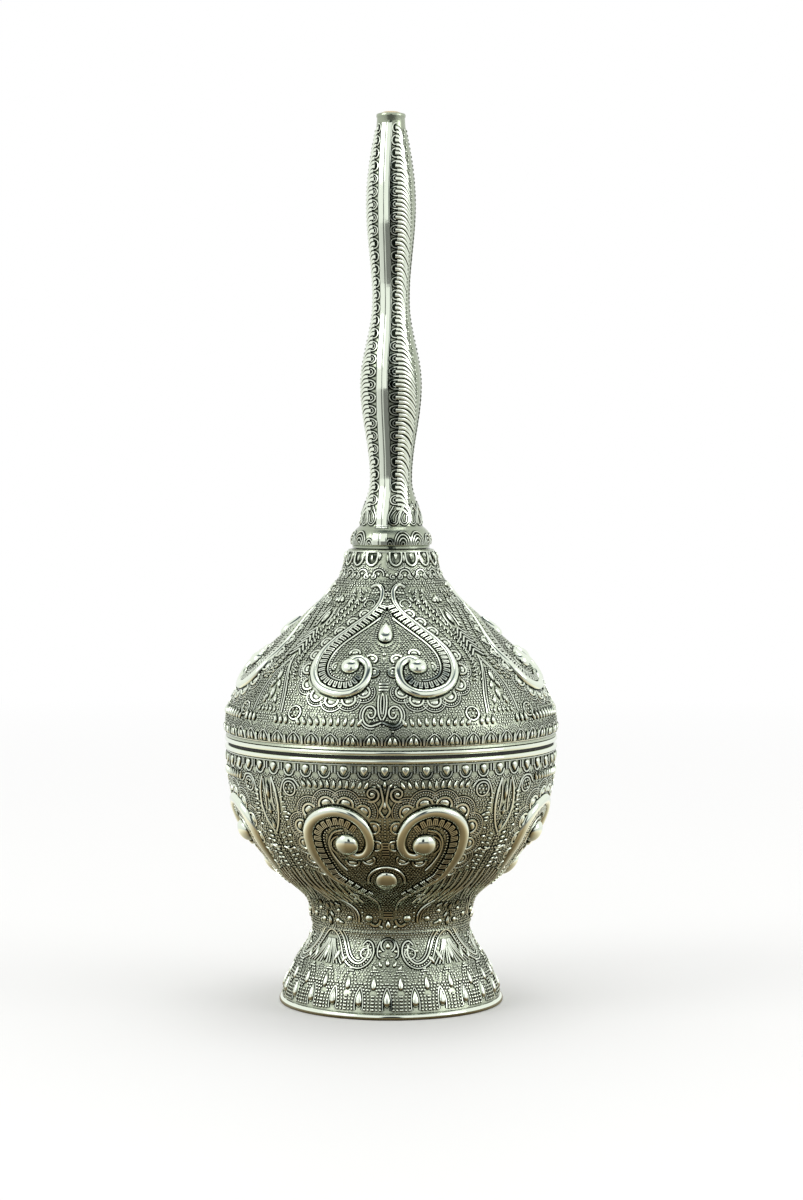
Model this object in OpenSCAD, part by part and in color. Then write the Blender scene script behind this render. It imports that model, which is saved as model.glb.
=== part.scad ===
// Rosewater sprinkler: a cast flask on a flared foot, with a tall neck that unscrews for filling.
// Millimetres, +Z up. The origin is the middle of the foot's underside.
// Two screw joints open it: the neck in the collar, and the domed upper half on the bowl.
// The polished scrolls and bosses are cast on the dome and the bowl. The fine ornament between them
// follows the outer faces drawn here and stands within their envelope.

/* [Foot] */
// Diameter over the polished lip that stands on the table
foot_d = 56.8; // [55:0.2:59]
// Height of the foot casting, up to the seam with the bowl
foot_h = 20.3; // [19:0.1:22]
// Diameter of the waist, where the foot is narrowest
waist_d = 40.4; // [39:0.2:42]
// Height of the polished lip
lip_h = 1.6; // [1.2:0.1:2.2]
// Thickness of the web across the top of the foot
web_t = 2.2; // [1.8:0.1:2.6]

/* [Body] */
// Widest diameter, across the shoulder band just above the seam
body_d = 84.9; // [82:0.2:88]
// Height of the seam between the two body castings
seam_z = 66.05; // [64:0.1:68]
// Height of the dark joint line left between the two rim beads
seam_gap = 0.7; // [0.5:0.1:0.9]
// Height of each polished rim bead
bead_h = 1.3; // [1.1:0.1:1.5]
// Wall thickness of the foot, bowl and dome castings
wall = 1.8; // [1.6:0.1:2]
// Thickness of the bowl's floor
floor_t = 3; // [2.5:0.1:3.5]

/* [Dome] */
// Height of the domed upper casting above its rim bead
dome_h = 39.3; // [37:0.1:42]
// Diameter of the flat land at the top of the dome
land_d = 28.4; // [27.6:0.2:29.4]
// Diameter of the hole through the dome that the collar is soldered in
throat_d = 23; // [22:0.2:23.4]

/* [Scrolls] */
// How far the dome's scrolls stand out from its face
dome_relief = 0.8; // [0.4:0.1:1]
// How far the dome's knobs stand out, where its scrolls end
dome_knob_h = 1.3; // [0.6:0.1:1.6]
// How far the bowl's scrolls stand out from its face
bowl_relief = 0.8; // [0.4:0.1:0.9]
// How far the bowl's knobs stand out, where its scrolls end
bowl_knob_h = 1.5; // [0.6:0.1:1.8]
// Turn of the dome's ornament away from the front, degrees
dome_turn = -2.8; // [-45:0.1:45]
// Turn of the bowl's ornament away from the front, degrees
bowl_turn = -1.9; // [-45:0.1:45]

/* [Collar] */
// Height of the visible collar
collar_h = 7.5; // [7:0.1:8]
// Diameter at the foot of the collar
collar_d = 26.2; // [25.6:0.2:26.8]
// Diameter at the top of the collar
collar_top_d = 21.6; // [21:0.2:22.4]

/* [Neck] */
// Diameter of the shell bulb at the base of the neck
base_bulb_d = 20.5; // [20:0.1:21.5]
// Diameter of the lower waist
low_waist_d = 10.8; // [10.6:0.1:12]
// Diameter of the middle bulb
mid_bulb_d = 15.7; // [14.5:0.1:17]
// Diameter of the upper waist
high_waist_d = 9.6; // [9.4:0.1:10.6]
// Diameter of the bulb near the tip
top_bulb_d = 12.7; // [12:0.1:14]
// Diameter of the mouth
mouth_d = 7; // [6.9:0.1:7.4]
// Height of the neck casting, from its seat to the mouth
neck_h = 107.2; // [100:0.1:115]
// Turn of the neck's two seams away from the front when it is screwed home, degrees
neck_turn = -17; // [-45:1:45]

/* [Screw joints] */
// Outer diameter of the threaded skirt that holds the two body halves together
skirt_d = 76.4; // [75:0.2:77]
// Length of that skirt below the dome's bead
skirt_l = 5.9; // [5:0.1:6.5]
// Outer diameter of the neck's threaded nipple
nipple_d = 14; // [13.4:0.2:14.6]
// Length of the nipple's thread below the neck
nipple_l = 10.2; // [8.5:0.1:11]
// Bore of the nipple, which the rosewater runs through
nipple_bore = 9.2; // [9:0.1:9.4]
// Clearance on the radius between a thread and its mate, taken at the pitch line
thread_gap = 0.06; // [0.03:0.01:0.1]
// Thickness of the neck's sealing washer
washer_t = 0.7; // [0.5:0.1:1]

/* [Tip] */
// Diameter of one spray hole
spray_d = 0.9; // [0.6:0.1:1]
// Spray holes around the one in the middle
spray_n = 6; // [4:1:6]

/* [Hidden] */
$fn = 96;

foot_r = foot_d / 2;
waist_r = waist_d / 2;
body_r = body_d / 2;
bead_r = body_r - 0.45;            // the beads lie just inside the shoulder band
bowl_top = seam_z - seam_gap / 2 - bead_h;
bowl_edge_r = bead_r - 0.05;
dome_z = seam_z + seam_gap / 2 + bead_h;
dome_top = dome_z + dome_h;
land_r = land_d / 2;
throat_r = throat_d / 2;
collar_top = dome_top + collar_h;
neck_z = collar_top + washer_t;
mouth_z = neck_z + neck_h;
nipple_r = nipple_d / 2;
skirt_r = skirt_d / 2;
solder = 0.05;                     // gap on the radius where two pieces are soldered
step = 7;                          // short straight pieces between two stations of a curve

// The screw that pulls the bowl down on the foot
screw_r = 2;
head_r = 3.7;
head_h = 2.6;
slot_w = 1;
slot_depth = 1.2;
plate_r = 5.4;                     // washer under the head
plate_t = 1;
boss_r = 4.8;
boss_h = 10.5;
screw_in = 7.5;                    // length of thread in the boss

// Outlines as [radius, height] shares, from the narrow end to the wide end of each casting
foot_shape = [[0.95, 0], [0.83, 0.19], [0.65, 0.37], [0.51, 0.5], [0.33, 0.62], [0.12, 0.77],
    [0.01, 0.89], [0, 1]];
bowl_shape = [[0, 0], [0.02, 0.077], [0.055, 0.13], [0.15, 0.183], [0.41, 0.293], [0.61, 0.41],
    [0.78, 0.526], [0.905, 0.67], [0.985, 0.85], [1, 1]];
dome_shape = [[0.973, 0], [1, 0.07], [0.96, 0.215], [0.79, 0.442], [0.59, 0.585],
    [0.345, 0.735], [0.115, 0.885], [0, 1]];

// A point of a smooth line that runs through stations b and c
function between(a, b, c, d, t) =
    (2 * b + (c - a) * t + (2 * a - 5 * b + 4 * c - d) * t * t
        + (3 * b - a - 3 * c + d) * t * t * t) / 2;

// The smooth line through every station of a list
function smooth_line(s) = concat(
    [for (i = [0 : len(s) - 2], k = [0 : step - 1])
        between(s[max(i - 1, 0)], s[i], s[i + 1], s[min(i + 2, len(s) - 1)], k / step)],
    [s[len(s) - 1]]);

// Stations given as shares, laid out between two radii and two heights
function laid_out(shape, r0, r1, z0, z1) =
    [for (p = shape) [r0 + (r1 - r0) * p[0], z0 + (z1 - z0) * p[1]]];

// The same line moved inwards by a wall thickness
function inset_line(p, t) = [for (i = [0 : len(p) - 1])
    let (d = p[min(i + 1, len(p) - 1)] - p[max(i - 1, 0)])
        p[i] + t * [-d[1], d[0]] / norm(d)];

function reversed(p) = [for (i = [len(p) - 1 : -1 : 0]) p[i]];

// A soft swell from one radius to the next
function swell(r0, r1, z0, z1, n) = [for (i = [1 : n])
    [r0 + (r1 - r0) * (1 - cos(180 * i / n)) / 2, z0 + (z1 - z0) * i / n]];

// Half of a round bead on a ring's edge, from the bottom up
function bead_line(r, z, h) = [for (i = [0 : 8])
    let (a = -90 + 180 * i / 8) [r - h / 2 + h / 2 * cos(a), z + h / 2 + h / 2 * sin(a)]];

foot_line = smooth_line(laid_out(foot_shape, waist_r, foot_r, lip_h, foot_h));
bowl_line = smooth_line(laid_out(bowl_shape, waist_r + 0.4, bowl_edge_r, foot_h, bowl_top));
dome_line = smooth_line(laid_out(dome_shape, land_r, body_r, dome_z, dome_top));

// The neck's outside, from its seat up: shell bulb, lower waist, middle bulb, upper waist, tip
bulb_z = neck_z + 1.6;
leaf_z = neck_z + 4.8;
neck_low_z = neck_z + 0.157 * neck_h;
neck_mid_z = neck_z + 0.379 * neck_h;
neck_high_z = neck_z + 0.577 * neck_h;
neck_top_z = neck_z + 0.799 * neck_h;
leaf_r = base_bulb_d / 2 - 2.3;
neck_line = concat(
    smooth_line([[base_bulb_d / 2 - 0.75, neck_z], [base_bulb_d / 2, bulb_z],
        [base_bulb_d / 2 - 0.5, bulb_z + 1.2], [base_bulb_d / 2 - 1.3, leaf_z - 0.6]]),
    [[leaf_r, leaf_z]],
    swell(leaf_r, low_waist_d / 2, leaf_z, neck_low_z, 9),
    swell(low_waist_d / 2, mid_bulb_d / 2, neck_low_z, neck_mid_z, 14),
    swell(mid_bulb_d / 2, high_waist_d / 2, neck_mid_z, neck_high_z, 14),
    swell(high_waist_d / 2, top_bulb_d / 2, neck_high_z, neck_top_z, 14),
    [for (i = [1 : 12]) [mouth_d / 2 + (top_bulb_d - mouth_d) / 2 * cos(90 * i / 12),
        neck_top_z + (mouth_z - neck_top_z) * i / 12]]);

// The neck's bore: a socket for the nipple, a long taper, and a seat for the rose
socket_r = nipple_r - 0.7;
socket_h = 5.3;
bore_r = 3.4;
seat_r = 2.5;
seat_h = 3.2;
neck_bore = [[seat_r, mouth_z], [seat_r, mouth_z - seat_h], [bore_r, mouth_z - seat_h - 1],
    [bore_r, neck_high_z - 8], [4, neck_low_z + 4], [nipple_bore / 2, neck_z + socket_h + 2],
    [nipple_bore / 2, neck_z + socket_h], [socket_r, neck_z + socket_h], [socket_r, neck_z]];

// The scrolls as [degrees from the motif's middle, length up the face, width]. Four motifs of two
// scrolls each go round the casting.
dome_scroll = [[16.6, 48.7, 0.8], [12.8, 49.4, 1.1], [8.4, 49.3, 1.2], [5.1, 47.8, 1.3], [5, 45.6, 1.3],
    [7, 43.3, 1.4], [10.8, 40.6, 1.5], [16.4, 37.6, 1.7], [21.2, 34.7, 1.9], [25.8, 31.4, 2.1],
    [29, 27, 2.5], [29.3, 22.8, 2.8], [27.6, 18.9, 2.8], [23.9, 15.9, 2.7], [17.8, 14.2, 2.6],
    [12, 14.4, 2.6], [7.7, 16.4, 2.6], [6, 19.3, 2.6], [6.6, 22.2, 2.4], [9.6, 24.1, 2.3],
    [12.4, 23.9, 2.4]];
dome_knob = [13.9, 21.8, 2.4];
dome_drop = [0, 28.8, 8.2, 4.4];   // [degrees, foot, length, width] of the pointed boss between two scrolls
bowl_scroll = [[5.3, 5.7, 0.5], [6.8, 8.8, 0.7], [11.8, 11.7, 0.8], [18.8, 15.5, 1], [25.4, 19, 1.5],
    [28.6, 24.1, 2.2], [29.6, 29.7, 2.6], [28.6, 34.4, 2.8], [24.4, 37.8, 3], [17, 39.3, 3.1],
    [10.6, 37.8, 2.9], [6.8, 34.6, 2.7], [5.7, 30.9, 2.6], [7.6, 27.9, 2.4], [11.2, 26.9, 2.2]];
bowl_knob = [14.5, 30.4, 3];
bowl_boss = [0, 18.2, 2.9];
root = 0.4;                        // depth to which the ornament is rooted in the wall

// Tables of radius and height against the length up a casting's face
function face_of(line) = let (s = [for (i = 0, s = 0; i < len(line);
        i = i + 1, s = s + (i < len(line) ? norm(line[i] - line[i - 1]) : 0)) s])
    [for (axis = [0, 1]) [for (i = [0 : len(line) - 1]) [s[i], line[i][axis]]]];
dome_face = face_of(dome_line);
bowl_face = face_of(bowl_line);

// A point at some degrees round, a length up the face, and a height above it
function on_face(face, deg, s, h) =
    let (d = [for (axis = [0, 1]) lookup(s + 0.8, face[axis]) - lookup(s - 0.8, face[axis])],
        r = lookup(s, face[0]) + h * d[1] / norm(d),
        z = lookup(s, face[1]) - h * d[0] / norm(d))
    [r * sin(deg), -r * cos(deg), z];

// Degrees that a length across the face takes at a height up it
function wide(face, s, mm) = mm / lookup(s, face[0]) * 180 / PI;

// A closed solid through rings that all have the same number of points
module skin_over(rings) {
    n = len(rings[0]);
    last = len(rings) - 1;
    polyhedron(points = [for (ring = rings, p = ring) p], faces = concat(
        [[for (k = [0 : n - 1]) k]],
        [for (i = [0 : last - 1], k = [0 : n - 1])
            let (a = i * n + k, b = i * n + (k + 1) % n)
            each [[a, a + n, b + n], [a, b + n, b]]],
        [[for (k = [n - 1 : -1 : 0]) last * n + k]]), convexity = 6);
}

// A scroll: a low round ribbon, rooted in the wall, that follows a list of stations
module scroll(face, stations, relief) {
    line = [for (i = [0 : len(stations) - 2], k = [0, 0.5])
        between(stations[max(i - 1, 0)], stations[i], stations[i + 1],
            stations[min(i + 2, len(stations) - 1)], k)];
    section = [[-0.5, -root], [-0.44, 0.5 * relief], [-0.2, relief], [0.2, relief], [0.44, 0.5 * relief],
        [0.5, -root]];
    skin_over([for (i = [0 : len(line) - 1])
        let (p = line[i],
            along = line[min(i + 1, len(line) - 1)] - line[max(i - 1, 0)],
            ahead = [along[0] / wide(face, p[1], 1), along[1]],
            side = [ahead[1], -ahead[0]] / norm(ahead))
        [for (c = section)
            on_face(face, p[0] + wide(face, p[1], side[0] * c[0] * p[2]), p[1] + side[1] * c[0] * p[2], c[1])]]);
}

// A knob: a low round boss of some radius
module knob(face, place, high) {
    n = 12;
    skin_over([for (c = [[1, -root], [0.92, 0.45 * high], [0.62, 0.85 * high], [0.2, high]])
        [for (k = [0 : n - 1]) let (a = 360 * k / n)
            on_face(face, place[0] + wide(face, place[1], place[2] * c[0] * sin(a)),
                place[1] - place[2] * c[0] * cos(a), c[1])]]);
}

// A boss that is round below and runs to a point above
module drop(face, place, high) {
    n = 14;
    mid = place[1] + 0.4 * place[2];
    skin_over([for (c = [[1, -root], [0.9, 0.5 * high], [0.55, 0.9 * high], [0.15, high]])
        [for (k = [0 : n - 1]) let (a = 360 * k / n, up = (1 - cos(a)) / 2)
            on_face(face, place[0] + wide(face, mid, c[0] * place[3] / 2 * sin(a) * (1 - up * up * 0.75)),
                mid + c[0] * (place[1] + place[2] * up - mid), c[1])]]);
}

// Four motifs round a casting, each with its halves to the right and the left
module all_round(turn)
    for (q = [0 : 3]) rotate([0, 0, turn + 90 * q]) children();

module both_sides() {
    children();
    mirror([1, 0, 0]) children();
}

module foot() color([0.74, 0.75, 0.7]) {
    inside = [for (p = inset_line(foot_line, wall)) if (p[1] < foot_h - web_t) p];
    rotate_extrude() polygon(concat(
        [[foot_r - 2.2, 0], [foot_r - 0.4, 0], [foot_r, 0.4], [foot_r, lip_h - 0.4],
            [foot_r - 0.3, lip_h - 0.05]],
        foot_line,
        [[screw_r + 0.2, foot_h], [screw_r + 0.2, foot_h - web_t],
            [waist_r - wall - 1.5, foot_h - web_t]],
        reversed(inside)));
}

module foot_washer() color([0.62, 0.62, 0.6]) difference() {
    z = foot_h - web_t - plate_t;
    translate([0, 0, z]) cylinder(r = plate_r, h = plate_t);
    translate([0, 0, z - 1]) cylinder(r = screw_r + 0.2, h = plate_t + 2);
}

module foot_screw() color([0.6, 0.6, 0.58]) difference() {
    z = foot_h - web_t - plate_t;
    rotate_extrude() polygon([[0, z - head_h], [head_r - 0.9, z - head_h],
        [head_r, z - head_h + 0.9], [head_r, z], [screw_r - 0.05, z],
        [screw_r - 0.05, foot_h + screw_in - 0.5], [screw_r - 0.55, foot_h + screw_in],
        [0, foot_h + screw_in]]);
    translate([-slot_w / 2, -head_r - 1, z - head_h - 1])
        cube([slot_w, 2 * head_r + 2, slot_depth + 1]);
}

// Floor, boss and wall in one casting; the boss takes the foot screw from below
module bowl() color([0.72, 0.73, 0.68]) {
    inside = [for (p = inset_line(bowl_line, wall))
        if (p[1] > foot_h + floor_t && p[1] < bowl_top - 0.2) p];
    hole_top = foot_h + screw_in + 0.6;
    rotate_extrude() polygon(concat(
        [[screw_r, foot_h]],
        bowl_line,
        [[bowl_edge_r - wall, bowl_top]],
        reversed(inside),
        [[inside[0][0] - 1, foot_h + floor_t], [boss_r + 0.8, foot_h + floor_t],
            [boss_r, foot_h + floor_t + 0.8], [boss_r, foot_h + boss_h - 0.6],
            [boss_r - 0.6, foot_h + boss_h], [0, foot_h + boss_h],
            [0, hole_top + 1.1], [screw_r, hole_top]]));
    all_round(bowl_turn) {
        both_sides() {
            scroll(bowl_face, bowl_scroll, bowl_relief);
            knob(bowl_face, bowl_knob, bowl_knob_h);
        }
        knob(bowl_face, bowl_boss, bowl_relief);
    }
}

// Polished bead with the female thread, soldered in the bowl's mouth
module bowl_rim() color([0.82, 0.83, 0.8]) {
    bore = skirt_r + thread_gap;
    hang = bead_r - wall - 0.35;
    rotate_extrude() polygon(concat(
        bead_line(bead_r, bowl_top, bead_h),
        [[bore + 0.5, bowl_top + bead_h], [bore, bowl_top + bead_h - 0.5],
            [bore, bowl_top - 4.2], [hang - 0.6, bowl_top - 4.2], [hang, bowl_top - 3.6],
            [hang, bowl_top]]));
}

module rim_gasket() color([0.13, 0.12, 0.11])
    translate([0, 0, seam_z - seam_gap / 2]) difference() {
        cylinder(r = bead_r - 0.9, h = seam_gap);
        translate([0, 0, -1]) cylinder(r = skirt_r + 0.4, h = seam_gap + 2);
    }

module dome() color([0.74, 0.75, 0.7]) {
    inside = [for (p = inset_line(dome_line, wall)) if (p[1] < dome_top - 3 && p[1] > dome_z) p];
    rotate_extrude() polygon(concat(
        dome_line,
        [[throat_r, dome_top], [throat_r, dome_top - 3]],
        reversed(inside),
        [[inside[0][0], dome_z]]));
    all_round(dome_turn) {
        both_sides() {
            scroll(dome_face, dome_scroll, dome_relief);
            knob(dome_face, dome_knob, dome_knob_h);
        }
        drop(dome_face, dome_drop, dome_relief);
    }
}

// Polished bead with the threaded skirt, soldered in the dome's mouth
module dome_rim() color([0.82, 0.83, 0.8]) {
    z = seam_z + seam_gap / 2;
    inner = skirt_r - 1.8;
    up = body_r * 0.973 - wall - 0.35;
    rotate_extrude() polygon(concat(
        [[skirt_r, z - skirt_l + 0.5], [skirt_r, z]],
        bead_line(bead_r, z, bead_h),
        [[up, z + bead_h], [up, z + bead_h + 2.6], [up - 0.5, z + bead_h + 3.1],
            [up - 1.4, z + bead_h + 3.1], [inner, z + bead_h], [inner, z - skirt_l],
            [skirt_r - 0.5, z - skirt_l]]));
}

// Ornamented collar with the female thread for the neck
module collar() color([0.74, 0.75, 0.7]) {
    bore = nipple_r + thread_gap;
    r0 = collar_d / 2;
    r1 = collar_top_d / 2;
    spigot = throat_r - solder;
    rotate_extrude() polygon([[bore, dome_top - 3.5], [spigot - 0.5, dome_top - 3.5],
        [spigot, dome_top - 3], [spigot, dome_top], [r0, dome_top], [r0 - 0.3, dome_top + 1],
        [r0 - 1.15, dome_top + 3.5], [r1 + 0.15, collar_top - 0.8], [r1 - 0.2, collar_top],
        [bore + 0.6, collar_top], [bore, collar_top - 0.6]]);
}

module neck_washer() color([0.13, 0.12, 0.11]) translate([0, 0, collar_top]) difference() {
    cylinder(r = base_bulb_d / 2 - 1.4, h = washer_t);
    translate([0, 0, -1]) cylinder(r = nipple_r + 0.4, h = washer_t + 2);
}

// Half of the neck casting; the two halves are soldered along the plain strips
module neck_half(start) color([0.74, 0.75, 0.7]) rotate([0, 0, neck_turn + start])
    rotate_extrude(angle = 180) polygon(concat(neck_line, neck_bore));

module neck_left() neck_half(90);
module neck_right() neck_half(-90);

// Brass nipple: a spigot soldered in the neck, and the thread that enters the collar
module neck_nipple() color([0.78, 0.64, 0.34]) {
    top = neck_z + socket_h - 0.1;
    low = neck_z - nipple_l;
    rotate_extrude() polygon([[nipple_bore / 2, low], [nipple_r - 0.6, low],
        [nipple_r, low + 0.6], [nipple_r, neck_z - 0.05], [socket_r - solder, neck_z - 0.05],
        [socket_r - solder, top], [nipple_bore / 2, top]]);
}

// Brass rose that closes the mouth, drilled with the spray holes
module tip_rose() color([0.8, 0.66, 0.36]) difference() {
    plate_z = mouth_z + 0.1;
    rotate_extrude() polygon([[1.9, mouth_z - seat_h + 0.3], [seat_r - solder, mouth_z - seat_h + 0.3],
        [seat_r - solder, mouth_z], [mouth_d / 2, mouth_z], [mouth_d / 2 - 0.15, mouth_z + 0.6],
        [mouth_d / 2 - 0.7, mouth_z + 1.25], [mouth_d / 2 - 1.6, mouth_z + 1.6],
        [0, mouth_z + 1.7], [0, plate_z], [1.9, plate_z]]);
    translate([0, 0, plate_z - 1]) {
        cylinder(d = spray_d, h = 4);
        for (i = [0 : spray_n - 1])
            rotate([0, 0, 360 * i / spray_n]) translate([1.3, 0, 0]) cylinder(d = spray_d, h = 4);
    }
}

foot();
foot_screw();
foot_washer();
bowl();
bowl_rim();
rim_gasket();
dome();
dome_rim();
collar();
neck_washer();
neck_left();
neck_right();
neck_nipple();
tip_rose();
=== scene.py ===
import math

import bpy
import numpy as np
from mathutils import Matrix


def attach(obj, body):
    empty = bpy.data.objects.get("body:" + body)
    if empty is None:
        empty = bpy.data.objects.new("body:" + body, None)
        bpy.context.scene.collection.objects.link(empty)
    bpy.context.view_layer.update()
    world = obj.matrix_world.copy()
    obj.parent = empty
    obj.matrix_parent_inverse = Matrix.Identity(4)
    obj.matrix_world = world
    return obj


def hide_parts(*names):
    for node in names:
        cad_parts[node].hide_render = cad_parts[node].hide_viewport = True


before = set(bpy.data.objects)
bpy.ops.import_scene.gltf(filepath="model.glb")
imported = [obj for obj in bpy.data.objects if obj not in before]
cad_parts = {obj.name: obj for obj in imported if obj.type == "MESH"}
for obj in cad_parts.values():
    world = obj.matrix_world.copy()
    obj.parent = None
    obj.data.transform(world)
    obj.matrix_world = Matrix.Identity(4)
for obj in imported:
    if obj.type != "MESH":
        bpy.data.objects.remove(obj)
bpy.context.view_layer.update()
luck = np.random.default_rng(11)
print("frame loaded:", len(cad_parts), "nodes")


# Camera at the photograph's view

cameraLook = {
    "lens": 85.62,
    "sensor": 36,
    "place": (0.002637, -0.720, 0.1386),
    "pitch": 2.94,
    "nearest": 0.01,
}


def setCamera(look):
    bpy.ops.object.camera_add(location=look["place"], rotation=(math.radians(90 - look["pitch"]), 0, 0))
    camera = bpy.context.object
    camera.data.lens = look["lens"]
    camera.data.sensor_width = look["sensor"]
    camera.data.clip_start = look["nearest"]
    bpy.context.scene.camera = camera


setCamera(cameraLook)


# Modelling helpers. A part is a pair: its points in millimetres, and its faces grouped by their sides

def deselectAll():
    if bpy.context.object and bpy.context.object.mode != "OBJECT":
        bpy.ops.object.mode_set(mode="OBJECT")
    bpy.ops.object.select_all(action="DESELECT")


def pick(obj):
    deselectAll()
    obj.select_set(True)
    bpy.context.view_layer.objects.active = obj


def editAll():
    bpy.ops.object.mode_set(mode="EDIT")
    bpy.ops.mesh.select_all(action="SELECT")


def closeOutwards():  # faces point outwards again, and edit mode ends
    bpy.ops.mesh.select_all(action="SELECT")
    bpy.ops.mesh.normals_make_consistent(inside=False)
    bpy.ops.object.mode_set(mode="OBJECT")


def takePart(obj):  # the finished shape, and the object it was made in goes
    me = obj.data
    points = np.zeros(len(me.vertices) * 3)
    me.vertices.foreach_get("co", points)
    groups = {}
    for face in me.polygons:
        groups.setdefault(len(face.vertices), []).append(tuple(face.vertices))
    bpy.data.objects.remove(obj)
    return points.reshape(-1, 3), [np.array(g) for g in groups.values()]


def joinParts(parts):
    points, faces, count = [], [], 0
    for v, groups in parts:
        points.append(v)
        faces += [g + count for g in groups]
        count += len(v)
    return np.concatenate(points), faces


def meshFrom(name, part):  # the fourth column says how far up its shape each point is, for the patina
    points, groups = part
    me = bpy.data.meshes.new(name)
    me.vertices.add(len(points))
    me.vertices.foreach_set("co", (points[:, :3] * 0.001).ravel())
    lift = me.attributes.new("lift", "FLOAT", "POINT")
    lift.data.foreach_set("value", points[:, 3].astype(np.float32))
    corners = np.concatenate([g.ravel() for g in groups]).astype(np.int32)
    sides = np.concatenate([np.full(len(g), g.shape[1]) for g in groups])
    me.loops.add(len(corners))
    me.loops.foreach_set("vertex_index", corners)
    me.polygons.add(len(sides))
    me.polygons.foreach_set("loop_start", (np.cumsum(sides) - sides).astype(np.int32))
    me.update(calc_edges=True)
    obj = bpy.data.objects.new(name, me)
    bpy.context.scene.collection.objects.link(obj)
    return obj


def smoothLine(stations, steps=12):  # passes through every station
    p = np.array(stations, float)
    out = []
    for i in range(len(p) - 1):
        a, b, c, d = p[max(i - 1, 0)], p[i], p[i + 1], p[min(i + 2, len(p) - 1)]
        for t in np.arange(steps) / steps:
            out.append((2 * b + (c - a) * t + (2 * a - 5 * b + 4 * c - d) * t * t
                        + (3 * b - a - 3 * c + d) * t ** 3) / 2)
    out.append(p[-1])
    return np.array(out)


def runAlong(line, scale=1.0):  # the length from the start to every point
    return np.concatenate([[0], np.cumsum(np.hypot(*np.diff(line, axis=0).T) * scale)])


# The skin of a casting: its outline from the bottom up, and a flat sheet on which shapes stay true

skinSteps = 1200
cellsPerUnit = 10  # cells of the cover map to a degree or a millimetre
degreesPerRadian = 57.3


def laidOut(plan):  # the shares of a shape between two radii and two heights
    (r0, r1), (z0, z1) = plan["radii"], plan["heights"]
    return smoothLine([(r0 + (r1 - r0) * u, z0 + (z1 - z0) * v) for u, v in plan["shape"]])


def insetLine(line, depth):
    line = np.array(line, float)
    along = np.gradient(line, axis=0)
    along /= np.hypot(along[:, 0], along[:, 1])[:, None]
    return line + depth * np.stack([-along[:, 1], along[:, 0]], -1)


def makeSkin(name, plan, outline):
    line = insetLine(outline, plan["sink"])
    arc = runAlong(line)
    if "arcs" in plan:
        low, high = plan["arcs"]
        arc = low + arc * (high - low) / arc[-1]
    fine = np.linspace(arc[0], arc[-1], skinSteps)
    r = np.interp(fine, arc, line[:, 0])
    z = np.interp(fine, arc, line[:, 1])
    soft = np.ones(25) / 25
    dr = np.convolve(np.pad(np.gradient(r), 12, "edge"), soft, "valid")
    dz = np.convolve(np.pad(np.gradient(z), 12, "edge"), soft, "valid")
    n = np.hypot(dr, dz)
    up = np.concatenate([[0], np.cumsum(np.diff(fine) / ((r[1:] + r[:-1]) / 2))])
    taken = np.zeros((45 * cellsPerUnit + 2, int((arc[-1] - arc[0]) * cellsPerUnit) + 2), bool)
    return {"name": name, "line": line, "arc": fine, "r": r, "z": z, "nr": dz / n, "nz": -dr / n,
            "up": up, "centre": math.radians(plan["centre"]), "taken": taken}


def upAt(skin, arc):
    return np.interp(arc, skin["arc"], skin["up"])


def arcAt(skin, up):
    return np.interp(up, skin["up"], skin["arc"])


def radiusAt(skin, up):
    return np.interp(up, skin["up"], skin["r"])


def wrapOn(skin, flat):  # x is the angle, y the way up the sheet, z the relief over the radius
    ang, up = flat[:, 0], flat[:, 1]
    high = flat[:, 2] * radiusAt(skin, up)
    out = radiusAt(skin, up) + high * np.interp(up, skin["up"], skin["nr"])
    z = np.interp(up, skin["up"], skin["z"]) + high * np.interp(up, skin["up"], skin["nz"])
    return np.stack([out * np.sin(ang), -out * np.cos(ang), z, flat[:, 3]], -1)


pile = {}
allWays = {"mirror": (4, True), "quarter": (4, False), "once": (1, False)}


def lay(skin, kind, part, ways="mirror"):
    points, groups = part
    turns, mirrored = allWays[ways]
    for q in range(turns):
        for flip in ([False, True] if mirrored else [False]):
            flat = points * np.array([-1, 1, 1, 1]) if flip else points.copy()
            flat[:, 0] += q * math.pi / 2 + skin["centre"]
            faces = [g[:, ::-1] for g in groups] if flip else groups
            pile.setdefault(skin["name"] + kind, []).append((wrapOn(skin, flat), faces))


# Drawing on the sheet: lines of (degrees, arc) points, widths and offsets in millimetres

def respaced(skin, line, gap):
    r = radiusAt(skin, line[:, 1])
    run = runAlong(line, (r[1:] + r[:-1]) / 2)
    at = np.linspace(0, run[-1], max(int(round(run[-1] / gap)), 1) + 1)
    return np.stack([np.interp(at, run, line[:, 0]), np.interp(at, run, line[:, 1])], -1)


def trace(skin, points, gap=0.5):
    flat = np.stack([np.radians([p[0] for p in points]), upAt(skin, [p[1] for p in points])], -1)
    if len(points) > 2:
        flat = smoothLine(flat, 14)
    return respaced(skin, flat, gap)


def span(line, low, high):  # a stretch of a line, given in shares of its points
    return line[int(len(line) * low): int(len(line) * high)]


def sideOf(line):
    d = np.gradient(line, axis=0)
    n = np.maximum(np.hypot(d[:, 0], d[:, 1]), 1e-12)[:, None]
    return np.stack([d[:, 1], -d[:, 0]], -1) / n


def shifted(skin, line, offset):
    off = np.broadcast_to(np.asarray(offset, float), len(line)) / radiusAt(skin, line[:, 1])
    return line + sideOf(line) * off[:, None]


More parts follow.
